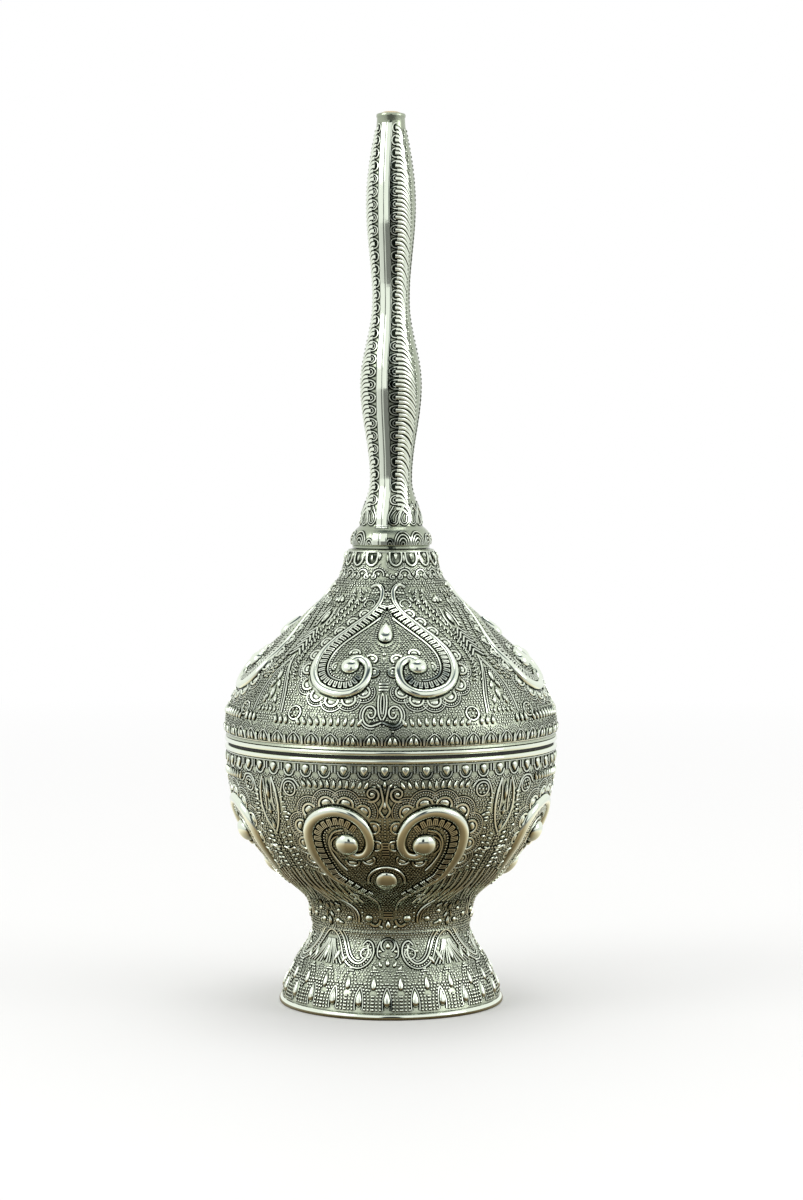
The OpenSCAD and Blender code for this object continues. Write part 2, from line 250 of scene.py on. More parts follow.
def arch(skin, deg, arc, turn, radius, spread, stretch=1.0):  # an arc of a circle round a point
    up = float(upAt(skin, arc))
    k = 1 / float(radiusAt(skin, up))
    count = max(int(radius * math.radians(2 * spread) / 0.4), 5)
    a = np.radians(np.linspace(-spread, spread, count))
    x, y = radius * np.sin(a), radius * np.cos(a) * stretch
    h = math.radians(turn)
    return np.stack([math.radians(deg) + k * (x * math.cos(h) + y * math.sin(h)),
                     up + k * (-x * math.sin(h) + y * math.cos(h))], -1)


def cover(skin, line, radius):  # marks the half quarter under a shape, so that the grains keep off it
    taken, cells = skin["taken"], cellsPerUnit
    radius = np.broadcast_to(np.asarray(radius, float), len(line))
    for (x, y), reach in zip(line, radius):
        deg = abs((math.degrees(x) + 45) % 90 - 45)
        wide = reach / float(radiusAt(skin, y)) * degreesPerRadian
        mid = (float(arcAt(skin, y)) - skin["arc"][0]) * cells
        i = np.arange(int((deg - wide) * cells), int((deg + wide) * cells) + 2)
        j = np.arange(max(int(mid - reach * cells), 0),
                      min(int(mid + reach * cells) + 1, taken.shape[1] - 1) + 1)
        if not len(j):
            continue
        sideways = ((i - deg * cells) / (wide * cells)) ** 2
        under = sideways[:, None] + ((j - mid) / (reach * cells))[None] ** 2 < 1
        folded = np.abs((i + 45 * cells) % (90 * cells) - 45 * cells)
        for row, hit in zip(folded, under):
            taken[row, j[hit]] = True


ribbonShapes = {  # right half of each section, from its root to the top
    "half": [(1, 0.05), (0.93, 0.36), (0.74, 0.62), (0.42, 0.8), (0, 0.86)],
    "wire": [(1, 0.1), (0.92, 0.5), (0.55, 0.86)],
    "rib": [(1, 0.08), (0.97, 0.3), (0.8, 0.5), (0.42, 0.6)],
    "strap": [(1, 0.1), (0.96, 0.32), (0.8, 0.46), (0.5, 0.42), (0, 0.38)],
}


def ribbonPart(skin, line, width, shape="wire", tall=1.0, border=0.27, closed=False):
    right = ([(1, -0.5), (1, 0.03)] if border else [(1, -0.5)]) + ribbonShapes[shape]
    section = np.array(right + [(-x, y) for x, y in right[::-1] if x])
    m, n = len(section), len(line)
    k = 1 / radiusAt(skin, line[:, 1])
    w = np.broadcast_to(np.asarray(width, float), n) / 2 * k
    across = section[None, :, 0] * w[:, None]
    for at, way in ((0, 1), (1, 1), (-2, -1), (-1, -1)):
        across[:, at] += way * border * k
    points = np.zeros((n, m, 4))
    points[:, :, :2] = line[:, None] + sideOf(line)[:, None] * across[:, :, None]
    points[:, :, 2] = section[None, :, 1] * w[:, None] * tall
    points[:, :, 3] = section[None, :, 1] / section[:, 1].max()
    rows = np.arange(n if closed else n - 1)[:, None] * m
    i = (rows + np.arange(m)[None]).ravel()
    j = (rows + (np.arange(m)[None] + 1) % m).ravel()
    faces = [np.stack([i + m, j + m, j, i], -1) % (n * m)]
    if not closed:
        faces.append(np.array([np.arange(m), np.arange(m)[::-1] + (n - 1) * m]))
    return points.reshape(-1, 4), faces


def wire(skin, line, width, ways="mirror", kind="Wires", shape="wire", tall=1.5, clear=0.42):
    if isinstance(line, list):
        line = trace(skin, line)
    lay(skin, kind, ribbonPart(skin, line, width, shape, tall), ways)
    cover(skin, line, np.asarray(width, float) / 2 + clear)


def hoop(skin, arc, steps=300, width=0.34, clear=0.34):  # a closed ring of wire
    line = np.stack([np.linspace(0, 2 * math.pi, steps + 1), np.full(steps + 1, float(upAt(skin, arc)))], -1)
    lay(skin, "Wires", ribbonPart(skin, line[:-1], width, tall=1.3, border=0, closed=True), "once")
    cover(skin, line[:steps // 8 + 2], width / 2 + clear)


# Small shapes that are modelled once and then stamped: each is one wide or long, and one high

def pearlMaster(sides, rings):
    deselectAll()
    bpy.ops.mesh.primitive_uv_sphere_add(segments=sides, ring_count=rings, radius=1)
    editAll()
    bpy.ops.mesh.bisect(plane_co=(0, 0, -0.25), plane_no=(0, 0, 1), use_fill=True, clear_inner=True)
    closeOutwards()
    return takePart(bpy.context.object)


def grainMaster():
    deselectAll()
    bpy.ops.mesh.primitive_cone_add(vertices=5, radius1=1, radius2=0.68, depth=0.9, location=(0, 0, 0.2))
    bpy.ops.object.transform_apply(location=True)
    bpy.ops.object.mode_set(mode="EDIT")
    bpy.ops.mesh.select_all(action="DESELECT")
    bpy.ops.object.mode_set(mode="OBJECT")
    for face in bpy.context.object.data.polygons:
        face.select = face.normal.z > 0.9
    bpy.ops.object.mode_set(mode="EDIT")
    bpy.ops.mesh.poke(offset=0.28)
    bpy.ops.object.mode_set(mode="OBJECT")
    return takePart(bpy.context.object)


def pillowMaster(outline, levels, middle=0.5):  # a flat outline raised in steps to a rounded top
    deselectAll()
    bpy.ops.mesh.primitive_circle_add(vertices=len(outline), radius=1, fill_type="NGON")
    obj = bpy.context.object
    for vert, (x, y) in zip(obj.data.vertices, outline):
        vert.co = (x, y, levels[0][0])
    editAll()
    for (low, wide), (high, narrow) in zip(levels, levels[1:]):
        bpy.ops.mesh.extrude_region_move(TRANSFORM_OT_translate={"value": (0, 0, high - low)})
        keep = narrow / wide
        bpy.ops.transform.resize(value=(keep, keep, 1), center_override=(0, middle, 0))
    bpy.ops.mesh.poke(offset=0.04)
    closeOutwards()
    return takePart(obj)


def around(count, shape):
    return [shape(2 * math.pi * k / count) for k in range(count)]


def dropPoint(t):  # round at the bottom, pointed at the top
    return (0.62 * math.sin(t) * math.cos(0.5 * (t - math.pi)) ** 1.2, (1 + math.cos(t)) / 2)


def leafPoint(t):  # pointed at both ends
    s = math.sin(t)
    return (0.5 * math.copysign(abs(s) ** 1.4, s), (1 + math.cos(t)) / 2)


def lobePoint(t):  # a round end on a straight base
    x, y = math.sin(t), math.cos(t)
    return (0.5 * x if y > 0 else 0.5 * math.copysign(min(1, abs(x) * 1.6), x), 0.5 + 0.5 * y)


levels = {  # height and width of each step, from the root to the top
    "drop": [(-0.3, 1.2), (0.06, 1.18), (0.1, 1), (0.45, 0.94), (0.8, 0.74), (1, 0.3)],
    "leaf": [(-0.4, 1.2), (0.06, 1.18), (0.1, 1), (0.6, 0.88), (1, 0.5)],
    "bar": [(-0.4, 1), (0.6, 0.95), (1, 0.8)],
    "lobe": [(-0.3, 1.1), (0.05, 1.09), (0.08, 1), (0.35, 0.96), (0.6, 0.86), (0.82, 0.68), (0.95, 0.42),
             (1, 0.15)],
    "tear": [(-0.3, 1.08), (0.04, 1.07), (0.06, 1), (0.24, 0.98), (0.45, 0.93), (0.66, 0.84), (0.82, 0.7),
             (0.93, 0.5), (0.98, 0.3), (1, 0.12)],
}
masters = {
    "grain": grainMaster(),
    "bead": pearlMaster(6, 4),
    "pearl": pearlMaster(12, 8),
    "boss": pearlMaster(32, 24),
    "drop": pillowMaster(around(14, dropPoint), levels["drop"], 0.42),
    "leaf": pillowMaster(around(12, leafPoint), levels["leaf"]),
    "bar": pillowMaster([(-0.5, 0), (-0.5, 1), (0.5, 1), (0.5, 0)], levels["bar"]),
    "lobe": pillowMaster(around(20, lobePoint), levels["lobe"], 0.35),
    "tear": pillowMaster(around(40, dropPoint), levels["tear"], 0.42),
}
kindOf = {"grain": "Grains", "bead": "Pearls", "pearl": "Pearls", "boss": "Scrolls", "drop": "Petals",
          "leaf": "Petals", "bar": "Bars", "lobe": "Petals", "tear": "Petals"}
roundMasters = ("grain", "bead", "pearl", "boss")
print("masters:", {key: sum(len(g) for g in part[1]) for key, part in masters.items()})


def stampPart(skin, master, rows):  # rows of angle, up, turn (radians), length, width, height
    points, groups = masters[master]
    rows = np.atleast_2d(np.array(rows, float))
    k = 1 / radiusAt(skin, rows[:, 1])
    x = points[:, 0][None] * (rows[:, 4] * k)[:, None]
    y = points[:, 1][None] * (rows[:, 3] * k)[:, None]
    z = points[:, 2][None] * (rows[:, 5] * k)[:, None]
    c, s = np.cos(rows[:, 2])[:, None], np.sin(rows[:, 2])[:, None]
    lift = np.broadcast_to(points[:, 2][None], x.shape)
    flat = np.stack([rows[:, 0:1] + x * c + y * s, rows[:, 1:2] - x * s + y * c, z, lift], -1)
    step = np.arange(len(rows))[:, None, None] * len(points)
    return flat.reshape(-1, 4), [(g[None] + step).reshape(-1, g.shape[1]) for g in groups]


def place(skin, master, rows, ways="mirror", kind=None, clear=0.28):
    lay(skin, kind or kindOf[master], stampPart(skin, master, rows), ways)
    for x, y, turn, length, width, high in rows:
        if master in roundMasters:
            cover(skin, np.array([[x, y]]), width + clear)
            continue
        k = 1 / float(radiusAt(skin, y))
        n = max(int(length / 0.3), 2)
        at = np.linspace(width * 0.4 / length, 1 - width * 0.3 / length, n)[:, None] * length * k
        spine = np.array([[x, y]]) + at * np.array([[math.sin(turn), math.cos(turn)]])
        narrow = 1 - 0.8 * np.linspace(0, 1, n) ** 1.6 if master in ("drop", "tear") else np.ones(n)
        cover(skin, spine, width / 2 * narrow + clear)


def onSheet(skin, rows):  # from rows in degrees, arc, degrees, and mm
    rows = np.array(rows, float)
    rows[:, [0, 2]] = np.radians(rows[:, [0, 2]])
    rows[:, 1] = upAt(skin, rows[:, 1])
    return rows


def stamp(skin, master, rows, ways="mirror", kind=None, clear=0.28):
    place(skin, master, onSheet(skin, rows), ways, kind, clear)


def hollow(skin, row):  # a low patch that stays black with patina
    points, groups = stampPart(skin, "lobe", onSheet(skin, [row]))
    points[:, 3] = 0.44
    lay(skin, "Hollows", (points, groups), "quarter")


def beads(skin, line, gap, size, ways="mirror", tall=1.25):
    if isinstance(line, list):
        line = trace(skin, line)
    r = size / 2
    place(skin, "bead", [(x, y, 0, r, r, r * tall) for x, y in respaced(skin, line, gap)], ways, "Beads")


def quarterOf(count, shift=0.0):  # the degrees of a full row's shapes in the first quarter
    return [(k + shift) * 360 / count for k in range(count) if (k + shift) * 360 / count < 90]


def ringRow(skin, master, count, arc, size, turn=0, shift=0.0, side=0.0, kind=None):  # a row all round
    up = float(upAt(skin, arc))
    aside = side / float(radiusAt(skin, up))
    rows = [((k + shift) * 2 * math.pi / count + aside, up, math.radians(turn), *size) for k in range(count)]
    place(skin, master, rows, "once", kind)


def grains(skin, arcFrom, arcTo, pitch, size):  # a close field, then small ones in what is left
    taken, arc0 = skin["taken"], skin["arc"][0]
    total = 0
    for share in (1.0, 0.66):
        rows, odd, arc = [], 0, arcFrom
        while arc < min(arcTo, skin["arc"][-1]):
            up = float(upAt(skin, arc))
            r = float(radiusAt(skin, up))
            n = 4 * max(int(round(2 * math.pi * r / pitch / share / 4)), 1)
            deg = (np.arange(n) + 0.5 * odd) * 360 / n
            i = np.rint(np.abs((deg + 45) % 90 - 45) * cellsPerUnit).astype(int)
            free = ~taken[i, int((arc - arc0) * cellsPerUnit)]
            grow = size * share / 2 * luck.uniform(0.84, 1.1, n)
            stray = luck.uniform(-0.14, 0.14, (n, 2)) * pitch * share / r
            rows += [(math.radians(d) + s[0], up + s[1], 0.0, g, g, g * 1.1)
                     for d, g, s in zip(deg[free], grow[free], stray[free])]
            arc += pitch * share * 0.87
            odd = 1 - odd
        if rows:
            lay(skin, "Grains", stampPart(skin, "grain", rows), "once")
            own = np.array([row[:2] for row in rows if row[0] < 0.8])
            cover(skin, own, size * 0.415 + 0.1)
            total += len(rows)
    print(skin["name"], "grains", total)


def petal(skin, deg, arc, turn, size, rings=0, spread=100):  # a lobe in a raised rim, with rows of beads
    stamp(skin, "lobe", [(deg, arc, turn, size * 0.86, size * 1.5, size * 0.3)])
    wire(skin, arch(skin, deg, arc, turn, size * 1.1, spread), 0.42 + 0.17 * size)
    reach = size * 1.1 + 0.1
    for k in range(rings):
        reach += 0.62
        beads(skin, arch(skin, deg, arc, turn, reach, spread - 14), 0.6, 0.5)
    if rings:
        wire(skin, arch(skin, deg, arc, turn, reach + 0.52, spread - 20), 0.3)


def roundel(skin, deg, arc, size):  # a ring round a swirl of small tears
    wire(skin, arch(skin, deg, arc, 0, size, 180), 0.46)
    count = 6 if size > 1.5 else 5
    k = degreesPerRadian / float(radiusAt(skin, upAt(skin, arc)))
    for turn in 360 * np.arange(count) / count:
        x, y = math.sin(math.radians(turn)), math.cos(math.radians(turn))
        stamp(skin, "drop", [(deg + k * x * size * 0.62, arc + y * size * 0.62, turn + 250,
                              size * 0.62, size * 0.4, size * 0.26)])
    stamp(skin, "bead", [(deg, arc, 0, size * 0.22, size * 0.22, size * 0.24)])


def spiral(skin, deg, arc, size, start, turns, hand, width, ways="mirror"):
    up = float(upAt(skin, arc))
    k = 1 / float(radiusAt(skin, up))
    n = max(int(turns * size * 2 * math.pi * 0.6 / 0.35), 10)
    t = np.linspace(0, 1, n)
    a = math.radians(start) + hand * t * turns * 2 * math.pi
    rad = size * (1 - 0.72 * t)
    line = np.stack([math.radians(deg) + k * rad * np.sin(a), up + k * rad * np.cos(a)], -1)
    wire(skin, line, width * (1 - 0.3 * t), ways)
    stamp(skin, "pearl", [(deg, arc, 0, width * 0.7, width * 0.7, width * 0.7)], ways)


def rungCells(skin, line, near, far, gap, steps, width, spine):  # short bars in groups, on a black strip
    middle, broad = (near + far) / 2, far - near
    bed = ribbonPart(skin, shifted(skin, line, middle), broad + 0.2, "strap", 0.1)
    bed[0][:, 3] = 0
    lay(skin, "Hollows", bed)
    cover(skin, shifted(skin, line, middle), broad / 2 + 0.3)
    spots = respaced(skin, line, gap)
    side = sideOf(spots)
    ahead = np.stack([-side[:, 1], side[:, 0]], -1)
    k = (1 / radiusAt(skin, spots[:, 1]))[:, None]
    root = spots + side * near * k
    for step in steps:
        place(skin, "bar", [(x, y, math.atan2(s[0], s[1]), broad, width, 0.6)
                            for (x, y), s in zip(root + ahead * step * k, side)])
    place(skin, "bar", [(x, y, math.atan2(a[0], a[1]), spine, 0.34, 0.6)
                        for (x, y), a in zip(root - ahead * spine / 2 * k, ahead)])


def widthsAlong(widths, line):  # widths at the plan's points, spread along the traced line
    return np.interp(np.linspace(0, 1, len(line)), np.linspace(0, 1, len(widths)), widths)


def drawScroll(skin, plan):  # the polished scroll with its knob
    line = trace(skin, plan["scroll"])
    broad = widthsAlong(plan["widths"], line)
    line = shifted(skin, line, -widthsAlong(plan["outward"], line))
    wire(skin, line, broad, kind="Scrolls", shape="half", tall=plan["scrollTall"], clear=plan["scrollClear"])
    stamp(skin, "boss", [plan["knob"]], clear=0.25)
    return line, broad


def leaningDrops(skin, first, last, step, upright, lean, arc, size):
    for deg in np.arange(first, last, step):
        stamp(skin, "drop", [(deg, arc, (deg - upright) * lean, *size)])


def drawDetails(skin, plan):  # the plan's single wires, rows of beads and small shapes
    for width, line in plan["wires"]:
        wire(skin, line, width)
    for ways, gap, size, line in plan["beadRows"]:
        beads(skin, line, gap, size, ways)
    for master, ways, rows in plan["stamps"]:
        stamp(skin, master, rows, ways)


# Dome

domePlan = {
    "radii": (14.2, 42.45),
    "heights": (67.7, 107.0),
    "shape": [(0.973, 0), (1, 0.07), (0.96, 0.215), (0.79, 0.442), (0.59, 0.585), (0.345, 0.735),
              (0.115, 0.885), (0, 1)],
    "sink": 0.62,
    "arcs": (1.2, 51.9),
    "centre": -2.8,
    "eggs": 52,
    "scroll": [(16.6, 50.3), (12.8, 51.0), (8.4, 50.9), (5.1, 49.4), (5.0, 47.2), (7.0, 44.8), (10.8, 42.1),
               (16.4, 39.1), (21.2, 36.2), (25.8, 32.8), (29.0, 28.4), (29.3, 24.2), (27.6, 20.2),
               (23.9, 17.2), (17.8, 15.5), (12.0, 15.7), (7.7, 17.7), (6.0, 20.6), (6.6, 23.6),
               (9.6, 25.5), (12.6, 25.2), (14.0, 24.0)],
    "widths": [0.9, 1.1, 1.2, 1.2, 1.2, 1.2, 1.2, 1.3, 1.4, 1.6, 1.9, 2.1, 2.2, 2.3, 2.4, 2.4, 2.3, 2.2,
               2.1, 2.1, 2.4, 2.8],
    "outward": [0, 0, 0, 0.1, 0.15, 0.15, 0.2, 0.2, 0.25, 0.3, 0.3, 0.3, 0.25, 0.2, 0.15, 0.1, 0.1, 0.1,
                0, 0, 0, 0],
    "scrollTall": 1.15,
    "scrollClear": 0.3,
    "knob": (13.9, 23.2, 0, 2.35, 2.35, 1.75),
    "teardrop": (0, 31.2, 0, 9.0, 4.7, 1.6),
    "rungs": {"near": 0.34, "far": 1.95, "gap": 1.5, "steps": (-0.28, 0.28), "width": 0.38, "spine": 1.0},
    "ladderTop": 44.6,
    "columnEdge": 40.6,
    "petals": [(15.4, 41.6, 52, 1.15), (21.4, 38.6, 50, 1.2), (26.6, 35.2, 50, 1.25), (30.6, 31.0, 66, 1.3),
               (32.2, 26.6, 86, 1.35), (31.8, 22.0, 104, 1.4), (29.2, 17.6, 128, 1.4),
               (24.2, 14.7, 150, 1.45), (18.2, 13.5, 172, 1.5), (12.0, 13.8, 196, 1.5),
               (6.9, 15.8, 226, 1.35), (13.4, 27.4, 6, 1.2), (5.6, 25.6, -46, 1.25), (4.2, 21.4, -88, 1.2)],
    "beadedPetals": (11, 24),  # the petals outside the scroll, up to this arc
    "hookDrops": (-130, -65, 0, 65, 130),
    "gables": [(0.0, 9.6, 26.4, 0.44), (1.1, 10.2, 24.4, 0.32)],  # inset, base, peak, width
    "stem": [(1.3, 15.0), (1.5, 13.2), (1.35, 11.0), (1.0, 9.6), (0.25, 8.6)],
    "curl": [(0.2, 8.0), (1.8, 7.5), (3.9, 7.1), (5.8, 7.9), (6.6, 9.7), (5.8, 11.5), (4.0, 12.1),
             (2.5, 11.3), (2.3, 10.0), (3.1, 9.1), (4.3, 9.2), (4.7, 10.0)],
    "cup": (0, 7.0, 0, 1.4, 6.4, 0.1),
    "roundel": (31.7, 9.9, 1.7),
    "tongues": {"first": 8.2, "last": 29, "step": 2.3, "upright": 17.4, "lean": 3.1, "arc": 6.8,
                "size": (2.9, 1.3, 0.7)},
    "wires": [
        (0.42, [(41.6, 37.0), (41.0, 40.0), (42.2, 43.4)]),
        (0.36, [(38.6, 37.4), (37.6, 40.6), (39.0, 43.8)]),
    ],
    "beadRows": [
        ("mirror", 0.72, 0.62, [(0.6, 42.2), (3.4, 38.6), (5.0, 34.8), (4.4, 31.4), (0.6, 29.9)]),
        ("mirror", 0.7, 0.56, [(0.8, 43.8), (4.6, 39.2), (6.5, 35.0), (6.0, 31.0), (3.4, 28.7)]),
        ("mirror", 0.8, 0.6, [(2.2, 27.6), (1.7, 24.0), (1.9, 21.5)]),
        ("mirror", 0.7, 0.56, [(39.6, 11.4), (40.8, 15.2), (42.6, 19.2), (44.4, 22.2)]),
    ],
    "stamps": [
        ("pearl", "quarter", [(0, 27.4, 0, 0.6, 0.6, 0.55), (0, 25.8, 0, 0.5, 0.5, 0.45),
                              (0, 46.1, 0, 0.4, 0.4, 0.38), (0, 44.3, 0, 0.36, 0.36, 0.34)]),
        ("pearl", "mirror", [(2.3, 47.2, 0, 0.36, 0.36, 0.34), (2.8, 45.4, 0, 0.34, 0.34, 0.32),
                             (3.9, 10.4, 0, 0.42, 0.42, 0.42)]),
        ("pearl", "mirror", [(8.6 + 2.6 * k, 48.9 - 0.1 * k, 0, 0.42, 0.42, 0.4) for k in range(3)]),
        ("leaf", "quarter", [(45, 44.9, 0, 3.6, 1.0, 0.6), (45, 37.0, 0, 6.6, 1.5, 0.7),
                             (45, 17.6, 0, 4.4, 1.3, 0.6), (45, 12.8, 0, 4.2, 1.3, 0.6)]),
        ("leaf", "mirror", [(22, 45.4, -24, 2.6, 0.9, 0.45), (27.5, 44.6, -14, 2.8, 0.9, 0.45),
                            (33, 44.3, -6, 2.8, 0.9, 0.45), (19, 48.6, 30, 2.0, 0.8, 0.4),
                            (26, 48.2, 12, 2.2, 0.8, 0.4), (33, 48.2, 4, 2.2, 0.8, 0.4),
                            (42.6, 15.8, 20, 3.0, 1.1, 0.55), (41.8, 11.6, 16, 3.2, 1.1, 0.55)]),
        ("drop", "quarter", [(45, 9.6, 0, 2.0, 0.8, 0.5), (0, 14.4, 0, 1.8, 0.9, 0.6)]),
        ("drop", "mirror", [(40.6, 45.4, 22, 2.6, 1.5, 0.6), (41.0, 9.6, 0, 1.7, 0.8, 0.5),
                            (43.0, 9.6, 0, 1.9, 0.8, 0.5)]),
        ("drop", "mirror", [(deg, 6.8, 6, 2.7, 1.3, 0.7) for deg in (34.6, 36.9, 39.2)]),
        ("bar", "quarter", [(-1.6, 16.4 + 0.8 * k, 90, 2.4, 0.4, 0.36) for k in range(3)]),
    ],
    "grains": (5.2, 52.4, 0.76, 0.65),
}


def drawLadder(skin, plan, scroll, broad):  # on the scroll's inner side, from below the hook to the knob
    n = len(scroll)
    high = arcAt(skin, scroll[:, 1]) >= plan["ladderTop"]
    first = int(np.argmax(~high & (np.arange(n) > n * 0.1)))
    last = int(n * 0.83)
    inner, half = scroll[first:last], broad[first:last] / 2
    rungCells(skin, shifted(skin, inner, half), **plan["rungs"])
    inner, half = span(inner, 0, 0.86), span(half, 0, 0.86)
    wire(skin, span(shifted(skin, inner, half + 2.5), 0.09, 1), 0.5)
    beads(skin, shifted(skin, span(inner, 0.5, 1), span(half, 0.5, 1) + 3.15), 0.74, 0.62)
    petal(skin, 19.6, 23.0, 88, 1.05, spread=80)


def drawOuterRows(skin, plan, scroll):  # small leaves and beads, cut off at the column between two scrolls
    for k in range(5):
        line = shifted(skin, span(scroll, 0.1, 0.62), -3.5 - 1.15 * k)
        edge = plan["columnEdge"] - 0.4 * k
        line = line[(np.degrees(line[:, 0]) < edge) & (arcAt(skin, line[:, 1]) > 18)]
        if len(line) <= 6:
            continue
        if k % 2:
            spots = respaced(skin, line, 1.25)
            place(skin, "leaf", [(x, y, math.atan2(s[0], s[1]) + 2.3, 1.9, 0.62, 0.5)
                                 for (x, y), s in zip(spots, sideOf(spots))])
        else:
            beads(skin, line, 0.78, 0.64)


def drawEggs(skin, plan):  # scale arcs, and eggs between tongues, above the seam
    eggs = plan["eggs"]
    for deg in quarterOf(eggs, 0.5):
        wire(skin, [(deg - 2.5, 2.3), (deg - 2.3, 3.5), (deg - 1.1, 4.6), (deg, 5.1),
                    (deg + 1.1, 4.6), (deg + 2.3, 3.5), (deg + 2.5, 2.3)], 0.38, "quarter", tall=1.0)
    for deg in quarterOf(eggs):
        for reach in (0.95, 1.55, 2.15):
            beads(skin, arch(skin, deg, 4.35, 0, reach, 66), 0.54, 0.46, "quarter", tall=1.0)
    for side in (-0.72, 0.72):
        ringRow(skin, "drop", eggs, 2.25, (2.5, 1.25, 0.52), turn=-side * 9, shift=0.5, side=side)
    ringRow(skin, "bar", eggs, 2.3, (2.1, 0.55, 0.5))
    hoop(skin, 2.05)


def drawDome(plan):
    skin = makeSkin("dome", plan, laidOut(plan))
    scroll, broad = drawScroll(skin, plan)
    stamp(skin, "tear", [plan["teardrop"]], "quarter", kind="Scrolls", clear=0.15)
    drawLadder(skin, plan, scroll, broad)
    drawOuterRows(skin, plan, scroll)
    outside, beadedTo = plan["beadedPetals"]
    for k, (deg, arc, turn, size) in enumerate(plan["petals"]):
        petal(skin, deg, arc, turn, size, rings=1 if k < outside and arc <= beadedTo else 0)

    # drops between the two hooks at the top, with a small arch beside them
    fan = [(0, 48.2, turn, 1.3, 0.8, 0.5) for turn in plan["hookDrops"]]
    stamp(skin, "drop", fan, "quarter", kind="Pearls")
    wire(skin, arch(skin, 14.5, 45.3, 0, 1.35, 150), 0.42)

    # column at the quarter's edge: chevrons over two gables
    for k in range(6):
        arc = 27.2 + 1.55 * k
        line = trace(skin, [(41.6, arc - 1.0), (43.4, arc + 0.25), (44.9, arc + 1.2)], 0.6)
        wire(skin, line, 0.62)
    for inset, base, peak, wide in plan["gables"]:
        wire(skin, [(37.6 + inset, base), (38.4 + inset, 14.5), (40.4 + inset, 19.0),
                    (43.4 + inset * 0.4, 23.4), (44.9, peak)], wide)

    # fleur under the loops: a stem of two wires that curl out over a dark cup
    hollow(skin, plan["cup"])
    stem, curl = trace(skin, plan["stem"]), trace(skin, plan["curl"])
    wire(skin, stem, 0.5)
    wire(skin, shifted(skin, span(stem, 0, 0.8), 0.62), 0.4)
    wire(skin, curl, 0.56)
    wire(skin, shifted(skin, span(curl, 0.14, 0.6), 0.66), 0.4)

    roundel(skin, *plan["roundel"])
    leaningDrops(skin, **plan["tongues"])
    drawDetails(skin, plan)
    drawEggs(skin, plan)
    grains(skin, *plan["grains"])
    return skin


domeSkin = drawDome(domePlan)


# Bowl

